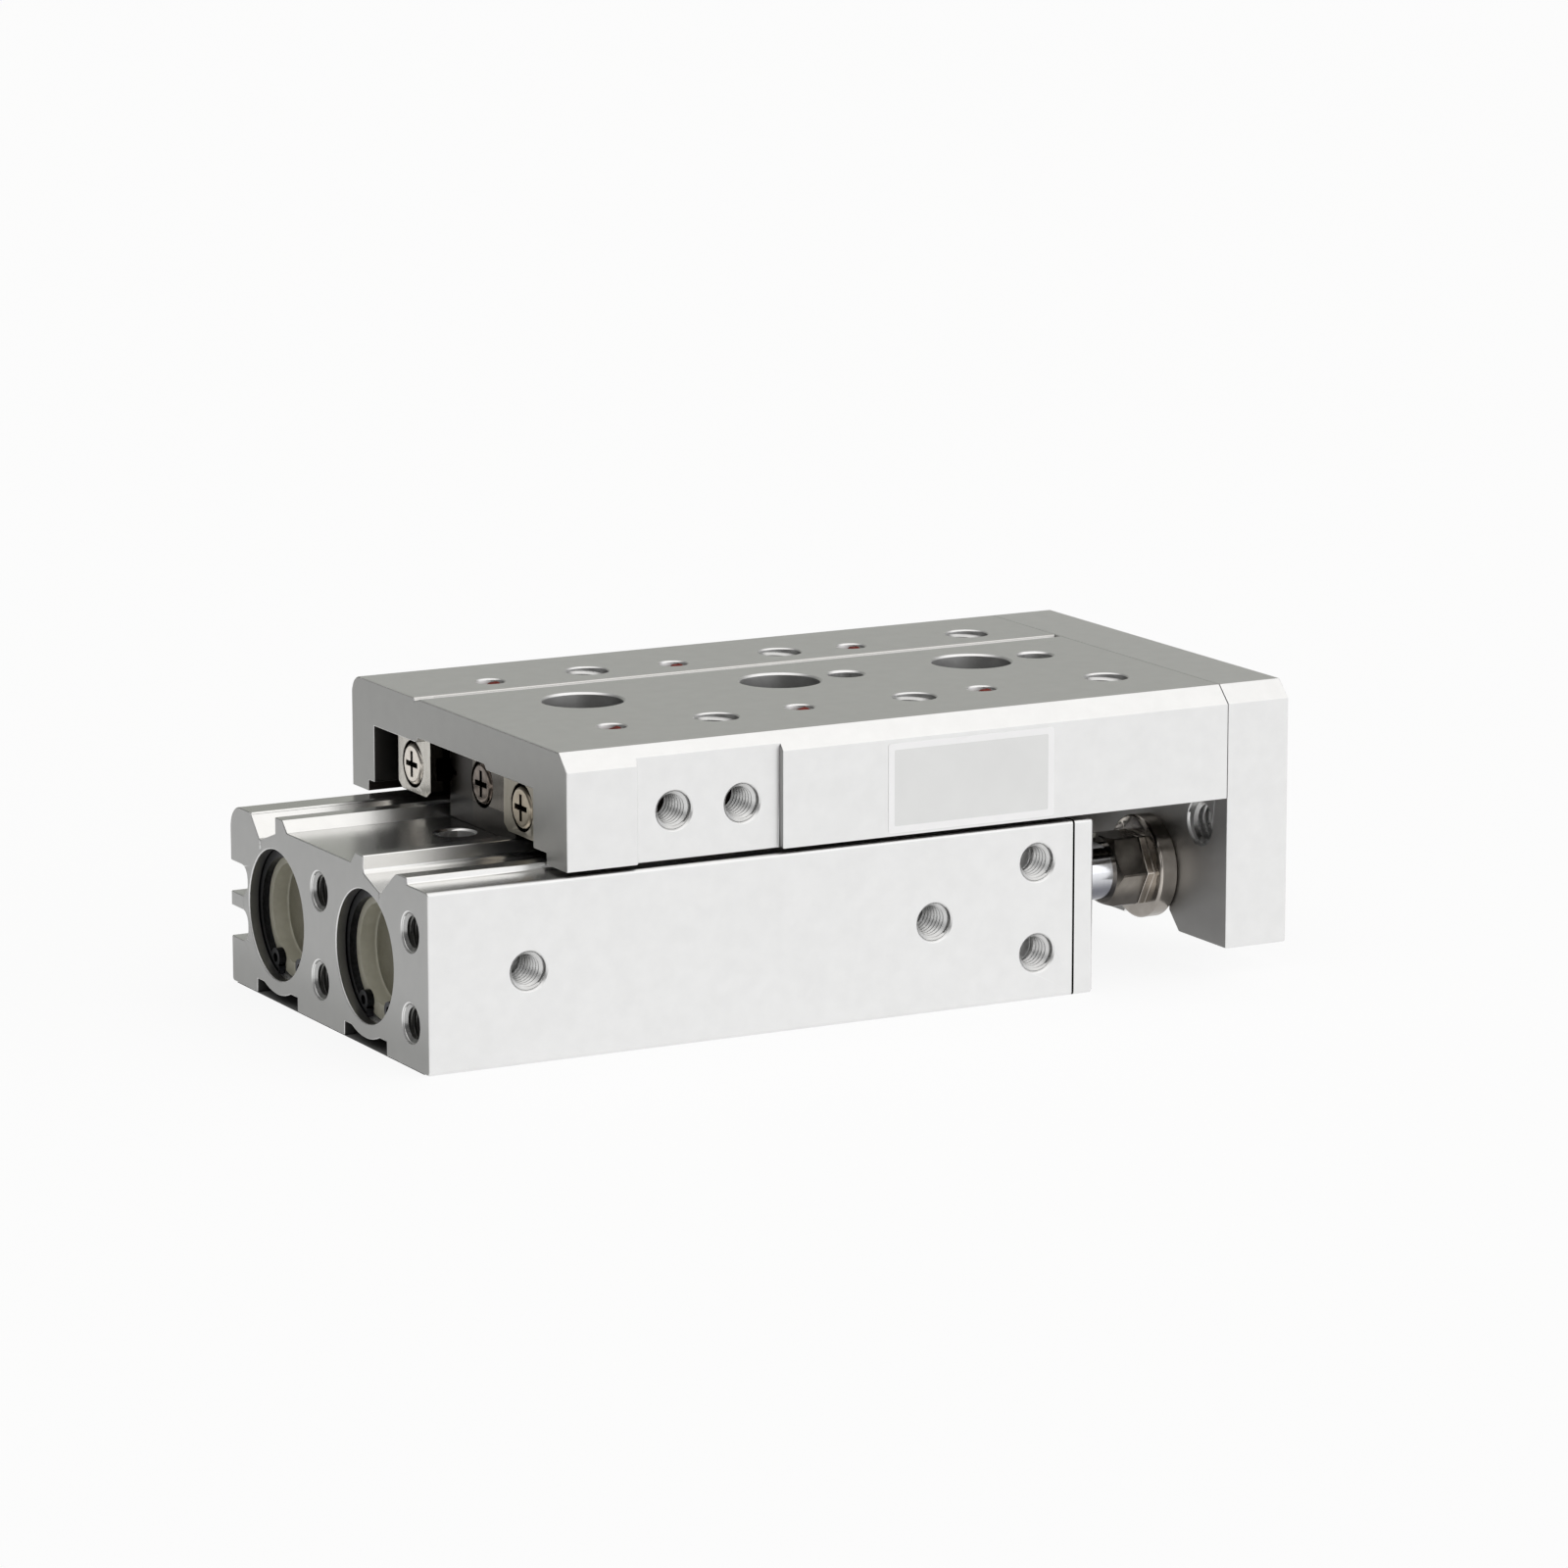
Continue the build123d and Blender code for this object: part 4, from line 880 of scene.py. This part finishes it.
# %% [markdown]
# A bmesh is only a workbench for points and faces. To show, it has to be written to a mesh that an object
# carries. The object then rides on a body of the model, so it moves with that body, and it is given its
# finish.


# %% From the workbench to a piece
def finished_object(name, mesh, finish, body, smooth_angle=40):
    """Turn a bmesh into a piece that rides on a body."""
    bmesh.ops.recalc_face_normals(mesh, faces=mesh.faces)
    data = bpy.data.meshes.new(name)
    mesh.to_mesh(data)
    mesh.free()
    data.materials.append(finish)
    piece = bpy.data.objects.new(name, data)
    bpy.context.scene.collection.objects.link(piece)
    data.shade_smooth()
    data.set_sharp_from_angle(angle=math.radians(smooth_angle))
    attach(piece, body)
    return piece


# %% [markdown]
# The record of the model says where each tapped hole is, how large it is and which way its screw leaves, so
# the threads take their places from it. A pattern of holes is spread about its middle, along the two
# directions of the face that it lies in.


# %% Places of the tapped holes
def hole_places(mount):
    """Centres of all the holes of a mount, and the direction into them."""
    into = -Vector(mount["axis"])
    dims = mount["dims"]
    across = Vector((0, 1, 0)) if round(into.x) else Vector((1, 0, 0))
    other = Vector((0, 1, 0)) if round(into.z) else Vector((0, 0, 1))
    middle = Vector(mount["pos_m"])
    half_a = dims.get("spacing_x_mm", 0) * MM / 2
    half_b = dims.get("spacing_y_mm", 0) * MM / 2
    places = []
    for a in (-half_a, half_a) if half_a else (0,):
        for b in (-half_b, half_b) if half_b else (0,):
            places.append(middle + across * a + other * b)
    return places, into


rear_holes = hole_places(mounts["body_rear_threads"])[0]
print("tapped holes of the rear end:", [tuple(round(value / MM, 1) for value in hole) for hole in rear_holes])

# %% [markdown]
# Tapping a mount puts a ridge in each of its holes. Some points in the record lie inside the hole and not at
# its mouth, so the mouth can be given for these.


# %% Tap the holes of a mount
def tap(mesh, name, depth, mouth=None, wide_mouth=False):
    """Add the ridges of one mount's holes. mouth is (axis number, place), where it has to be given."""
    mount = mounts[name]
    radius_mm = mount["dims"].get("hole_r_mm") or mount["dims"]["r_mm"]
    places, into = hole_places(mount)
    for place in places:
        if mouth:
            place[mouth[0]] = mouth[1]
        ridge(mesh, place, into, radius_mm * MM, COARSE_PITCH[radius_mm], depth)
        if wide_mouth:
            countersink(mesh, place, into, radius_mm * MM, COARSE_PITCH[radius_mm])
    return len(places)


# %% [markdown]
# The threads of the body stay with the housing. The holes in its rear end have a wide countersink, and their
# threads are a piece of their own with a darker finish: painted shade inside the holes, darker still past the
# countersink.

# %% Threads of the body
SHADE_START, SHADE_END = 0.75 * MM, 12 * MM
THREAD_DEPTH = 8 * MM
PORT_DEPTH = 5.7 * MM
BASE_DEPTH = 9.5 * MM


# Painted shade: the threads deeper than the countersinks are darkened.
def past_mouth(tree):
    """Everything in the rear holes that lies deeper than their countersinks."""
    return within(tree, "X", body_low.x + SHADE_START, body_low.x + SHADE_END)


thread_finish = anodised("tapped_aluminium", 0.30, [], (0.58, 0.58, 0.575), (0.68, 0.68, 0.675))
shaded_thread = anodised(
    "shaded_thread", 0.30, [(past_mouth, (0.62, 0.62, 0.60), 0.30)], (0.38, 0.38, 0.375), (0.46, 0.46, 0.455))
in_rear = bmesh.new()
count = tap(in_rear, "body_rear_threads", THREAD_DEPTH, wide_mouth=True)
finished_object("rear_threads", in_rear, shaded_thread, "housing")
in_body = bmesh.new()
count += tap(in_body, "body_side_threads", THREAD_DEPTH)
count += tap(in_body, "air_port_upper", PORT_DEPTH, mouth=(1, near_side))
count += tap(in_body, "air_port_lower", PORT_DEPTH, mouth=(1, near_side))
count += tap(in_body, "base_threads", BASE_DEPTH)
count += tap(in_body, "base_middle_thread", BASE_DEPTH, mouth=(2, 0))
finished_object("body_threads", in_body, thread_finish, "housing")
print("tapped holes in the body:", count)

# %% [markdown]
# The threads of the table end just above its channel, and the one for the stroke adjuster runs through the
# whole plate. They ride on the carriage, so they move with the table.

# %% Threads of the table and the plate
TABLE_DEPTH = 5.6 * MM
PLATE_DEPTH = 7.4 * MM
in_table = bmesh.new()
count = tap(in_table, "table_corner_threads", TABLE_DEPTH)
count += tap(in_table, "table_middle_threads", TABLE_DEPTH)
count += tap(in_table, "table_side_threads", THREAD_DEPTH)
finished_object("table_threads", in_table, thread_finish, "carriage")
in_plate = bmesh.new()
count += tap(in_plate, "end_plate_front_threads", PLATE_DEPTH)
count += tap(in_plate, "adjuster_thread", plate_high.x - plate_low.x, mouth=(0, plate_high.x))
finished_object("plate_threads", in_plate, thread_finish, "carriage")
print("tapped holes in the table and plate:", count)

# %% [markdown]
# ## Thread locking compound
# The tips of the six screws that hold the guide rails show in small wells on the table. The fitter locks
# them with a drop of red compound, which dries as an uneven dome. A disc of rings whose height falls off
# towards a wavy rim looks more like it than a flattened ball would.

# %% Red drops
WELL_DEPTH = 1.4 * MM
DROP_RADIUS = 1.35 * MM
DROP_HEIGHT = 1.22 * MM
DROP_SHIFT = Vector((0.50 * MM, -0.16 * MM))
DROP_FOOT = 0.1 * MM
RIM_WAVES = (0.07, 0.05)  # of three and of five waves around the rim
TOP_WAVE = 0.08  # of two waves around the dome
SEED_STEPS = (1.7, 2.9)
SCREW_HEAD = 5.4 * MM
SCREWS_IN_ROW = 3
RINGS, SPOKES = 6, 28

lock_low, lock_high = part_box("guide_rail_screws")
screw_pitch = (lock_high.x - lock_low.x - SCREW_HEAD) / (SCREWS_IN_ROW - 1)
screw_x = [lock_low.x + SCREW_HEAD / 2 + i * screw_pitch for i in range(SCREWS_IN_ROW)]
screw_y = [lock_low.y + SCREW_HEAD / 2, lock_high.y - SCREW_HEAD / 2]


def drop(mesh, x, y, z, seed):
    """A dome whose rim and height wander with the seed, so that no two drops are alike."""
    rows = []
    for ring in range(1, RINGS + 1):
        reach = ring / RINGS
        row = []
        for spoke in range(SPOKES):
            turn = 2 * math.pi * spoke / SPOKES
            wave = 1 + RIM_WAVES[0] * math.sin(3 * turn + seed) + RIM_WAVES[1] * math.sin(5 * turn - 2 * seed)
            r = DROP_RADIUS * reach * wave
            height = DROP_HEIGHT * (1 - reach ** 4) * (1 + TOP_WAVE * math.sin(2 * turn + seed * reach))
            row.append(mesh.verts.new((x + r * math.cos(turn), y + r * math.sin(turn), z + height)))
        rows.append(row)
    top = mesh.verts.new((x, y, z + DROP_HEIGHT))
    rows.append([mesh.verts.new((v.co.x, v.co.y, z - DROP_FOOT)) for v in rows[-1]])
    for k in range(SPOKES):
        mesh.faces.new((top, rows[0][k], rows[0][(k + 1) % SPOKES]))
    for inner, outer in zip(rows, rows[1:]):
        join_rings(mesh, inner, outer)
    mesh.faces.new(rows[-1][::-1])


# %% [markdown]
# Every well gets its drop, a little off the middle and with a seed of its own, because drops put in by hand
# are never quite alike. The compound is nearly matt, so its gloss is turned down.

# %% Set the drops in their wells
drops = bmesh.new()
for i, x in enumerate(screw_x):
    for j, y in enumerate(screw_y):
        seed = SEED_STEPS[0] * i + SEED_STEPS[1] * j
        drop(drops, x + DROP_SHIFT.x, y + DROP_SHIFT.y, table_top - WELL_DEPTH, seed)
lock_finish = moulded("thread_lock", (0.10, 0.014, 0.011), (0.20, 0.030, 0.022), 0.62,
                      blotch=0.6 * MM, gloss=0.15)
finished_object("thread_lock_drops", drops, lock_finish, "carriage")
print("drops at x", [round(x / MM, 1) for x in screw_x])

# %% [markdown]
# ## Blank label
# A paper label sits on the near side of the table: a pale grey field inside a white border. It is a thin
# sheet with rounded corners. Two outlines with the same number of points, one inside the other, give the
# border its own faces, so that the paper and the field can have separate finishes.

# %% Outline of a rectangle with rounded corners
CORNER_STEPS = 6


def rounded_outline(low, high, radius):
    """Points (x, z) around a rounded rectangle, starting at the same corner each time."""
    centres = [
        (high[0] - radius, high[1] - radius, 0),
        (low[0] + radius, high[1] - radius, 90),
        (low[0] + radius, low[1] + radius, 180),
        (high[0] - radius, low[1] + radius, 270),
    ]
    points = []
    for x, z, start in centres:
        for step in range(CORNER_STEPS + 1):
            turn = math.radians(start + 90 * step / CORNER_STEPS)
            points.append((x + radius * math.cos(turn), z + radius * math.sin(turn)))
    return points


print("points around an outline:", len(rounded_outline((0, 0), (1, 1), 0.1)))

# %% [markdown]
# The place and size of the label were read from the photograph. It stands proud by its thickness, and its
# back is sunk a little into the table, so that no light gets behind it.

# %% Label
LABEL_LOW = (17.2 * MM, table_low.z + 0.45 * MM)
LABEL_HIGH = (42.5 * MM, table_low.z + 12.5 * MM)
LABEL_BORDER = 0.9 * MM
LABEL_THICKNESS = 0.08 * MM
LABEL_SINK = 0.02 * MM
LABEL_RADIUS = 0.45 * MM
PAPER_HEIGHT = 0.002 * MM

paper = moulded("label_paper", (0.93, 0.93, 0.935), (0.95, 0.95, 0.955), 0.5,
                blotch=4 * MM, height=PAPER_HEIGHT)
field = moulded("label_field", (0.78, 0.785, 0.78), (0.81, 0.815, 0.81), 0.42,
                blotch=6 * MM, height=PAPER_HEIGHT)
inner_low = [value + LABEL_BORDER for value in LABEL_LOW]
inner_high = [value - LABEL_BORDER for value in LABEL_HIGH]
sheet = bmesh.new()
outlines = [
    (rounded_outline(LABEL_LOW, LABEL_HIGH, LABEL_RADIUS), near_side + LABEL_SINK),
    (rounded_outline(LABEL_LOW, LABEL_HIGH, LABEL_RADIUS), near_side - LABEL_THICKNESS),
    (rounded_outline(inner_low, inner_high, LABEL_RADIUS / 2), near_side - LABEL_THICKNESS),
]
loops = [[sheet.verts.new((x, y, z)) for x, z in points] for points, y in outlines]
for outer, inner in zip(loops, loops[1:]):
    join_rings(sheet, outer, inner)
middle = sheet.faces.new(loops[-1])
middle.material_index = 1
sheet.faces.new(loops[0])
label = finished_object("blank_label", sheet, paper, "carriage")
label.data.materials.append(field)
print("label", [round((h - l) / MM, 1) for l, h in zip(LABEL_LOW, LABEL_HIGH)], "mm")

# %% [markdown]
# ## Stops in the rail grooves
# At its open end the groove of each outer rail is closed by a small stop, which keeps the cage of rollers in.
# It is a short prism that fills the V of the groove, its rounded edge and the narrow slot at its root, flush
# with the rail's end face.

# %% Groove stops
STOP_LENGTH = 0.9 * MM
STOP_MOUTH = 1.64 * MM
STOP_SETBACK = 0.004 * MM
STOP_SINK = 0.01 * MM
RELIEF_HALF = 0.36 * MM


def groove_stop(mesh, rail, side):
    """side is the direction into the rail, from its grooved flank: -1 or 1 along Y."""
    low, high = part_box(rail)
    flank = (high.y if side < 0 else low.y) + side * STOP_SINK
    middle_z = (low.z + high.z) / 2
    shape = [
        (0, STOP_MOUTH),
        (STOP_MOUTH - RELIEF_HALF, RELIEF_HALF),
        (STOP_MOUTH + RELIEF_HALF, RELIEF_HALF),
    ]
    shape += [(depth, -half) for depth, half in reversed(shape)]
    corners = [(flank + side * depth, middle_z + half) for depth, half in shape]
    ends = [[mesh.verts.new((low.x + dx, y, z)) for y, z in corners] for dx in (STOP_SETBACK, STOP_LENGTH)]
    join_rings(mesh, *ends)
    mesh.faces.new(ends[0])
    mesh.faces.new(ends[1])


stops = bmesh.new()
groove_stop(stops, "near_guide_rail", -1)
groove_stop(stops, "far_guide_rail", 1)
finished_object("groove_stops", stops, rail_finish, "carriage")
print("groove stops", STOP_LENGTH / MM, "mm long")

# %% [markdown]
# ## Studio
# The photograph was taken on white, with soft light from the near side: that side is almost white, while
# the top and the rear are mid grey. Metal shows what surrounds it, so the surroundings matter more than the
# lamps do. The world is a room of soft panels, drawn by direction: a bright one on the near side, another
# overhead, a dim one on the far side and grey everywhere else. Where two panels overlap, the brighter one
# counts, so that no metal is lit until it clips.

# %% Room of soft panels
GREY_ROOM = (0.122, 0.122, 0.122)
# Each panel: the direction towards it, where it starts and where it is fully bright, and its colour
PANELS = [
    ((0.45, -0.85, 0.05), 0.30, 0.80, (1.02, 1.02, 1.03)),
    ((0.10, -0.35, 1.0), 0.40, 0.80, (1.07, 1.06, 1.045)),
    ((0.45, 0.85, 0.20), 0.50, 0.95, (0.225, 0.23, 0.205)),
]

world = bpy.data.worlds.new("studio_room")
bpy.context.scene.world = world
world.use_nodes = True
room = world.node_tree
direction = add(room, "TexCoord").outputs["Generated"]
brightest = None
for facing, start, full, colour in PANELS:
    dot = add(room, "VectorMath", operation="DOT_PRODUCT")
    feed(room, dot, direction, Vector(facing).normalized())
    panel = fading(room, dot.outputs["Value"], full, start)
    glow = feed(room, add(room, "VectorMath", operation="MULTIPLY"), panel, colour)
    if brightest:
        glow = feed(room, add(room, "VectorMath", operation="MAXIMUM"), brightest, glow)
    brightest = glow
light = feed(room, add(room, "VectorMath", operation="ADD"), brightest, GREY_ROOM)
room.links.new(light, room.nodes["Background"].inputs["Color"])
print("panels:", len(PANELS))

# %% [markdown]
# The floor is white. Where the camera or a reflection looks at it, most of what it shows is plain white, so
# the background comes out clean while the shadow under the object stays. Under the body, in its base slots,
# nothing is added and the floor is painted dark, a painted shadow, so that the slots stay dark. Everything
# else that the floor does, such as throwing soft light up at the object, is left to its ordinary matt
# surface.

# %% White floor finish
FLOOR_BLOTCH = 0.3
PLAIN_WHITE = 0.88
SHADE_INSET = 1.5 * MM
UNDER_BODY_SHADOW = (0.22, 0.22, 0.22)
floor_finish, tree, shader = start_finish("white_floor")
pale = two_tone(tree, cloudy(tree, FLOOR_BLOTCH), (0.93, 0.93, 0.93), (0.95, 0.95, 0.95))
shader.inputs["Roughness"].default_value = 0.9
shader.inputs["Specular IOR Level"].default_value = 0.0
looks = add(tree, "LightPath")
seen = looks.outputs["Is Camera Ray"]
for ray in ("Is Glossy Ray", "Is Transmission Ray"):
    seen = compute(tree, "MAXIMUM", seen, looks.outputs[ray])
# Painted shadow: the floor under the body is darkened.
under_body = all_of(
    tree,
    within(tree, "X", body_low.x, body_high.x),
    within(tree, "Y", body_low.y + SHADE_INSET, body_high.y - SHADE_INSET),
)
tree.links.new(tinted(tree, pale, under_body, UNDER_BODY_SHADOW), shader.inputs["Base Color"])
open_floor = compute(tree, "SUBTRACT", 1.0, under_body)
share = compute(tree, "MULTIPLY", all_of(tree, seen, open_floor), PLAIN_WHITE)
white = add(tree, "Emission")
surface = feed(tree, add(tree, "MixShader"), share, shader.outputs["BSDF"], white.outputs["Emission"])
tree.links.new(surface, tree.nodes["Material Output"].inputs["Surface"])
print("nodes in the floor's finish:", len(tree.nodes))

# %% [markdown]
# The floor itself is one flat sheet. It lies a hair below the object, so that the two don't fight for the
# same place.

# %% Floor
FLOOR_SIZE = 8.0
FLOOR_TILES = 4
FLOOR_DROP = 0.02 * MM
sheet = bmesh.new()
bmesh.ops.create_grid(sheet, x_segments=FLOOR_TILES, y_segments=FLOOR_TILES, size=FLOOR_SIZE / 2)
data = bpy.data.meshes.new("studio_floor")
sheet.to_mesh(data)
sheet.free()
data.materials.append(floor_finish)
floor = bpy.data.objects.new("studio_floor", data)
floor.location.z = body_low.z - FLOOR_DROP
bpy.context.scene.collection.objects.link(floor)
print("floor", FLOOR_SIZE, "m wide")

# %% [markdown]
# One large, weak lamp to the right of the camera makes the highlights a little crisper than the room alone
# can.

# %% Lamp
KEY_PLACE = Vector((0.45, -0.75, 0.45))
KEY_TARGET = Vector((0.015, 0, 0.02))
KEY_WIDTH, KEY_HEIGHT = 0.6, 0.4
KEY_POWER = 0.12
key_data = bpy.data.lights.new("key_softbox", "AREA")
key_data.shape = "RECTANGLE"
key_data.size, key_data.size_y = KEY_WIDTH, KEY_HEIGHT
key_data.energy = KEY_POWER
key = bpy.data.objects.new("key_softbox", key_data)
key.location = KEY_PLACE
key.rotation_euler = (KEY_TARGET - KEY_PLACE).to_track_quat("-Z", "Y").to_euler()
bpy.context.scene.collection.objects.link(key)
print("lamp", KEY_POWER, "W")

# %% [markdown]
# The camera stands where the photograph was taken from: low, behind the table's open end and on its near
# side. Its place was worked out once from the corners of the body, table and plate in the photograph.

# %% Camera
LENS, SENSOR = 151.976, 36
CAMERA_PLACE = (-0.401167, -0.777973, 0.205078)
CAMERA_ANGLES = (78.526125, 0.030203, -28.415016)
camera_data = bpy.data.cameras.new("photo_camera")
camera_data.lens = LENS
camera_data.sensor_width = SENSOR
camera = bpy.data.objects.new("photo_camera", camera_data)
camera.location = CAMERA_PLACE
camera.rotation_euler = [math.radians(angle) for angle in CAMERA_ANGLES]
bpy.context.scene.collection.objects.link(camera)
bpy.context.scene.camera = camera
bpy.context.scene.view_settings.view_transform = "Standard"
print("camera", round(camera.location.length, 2), "m from the origin")
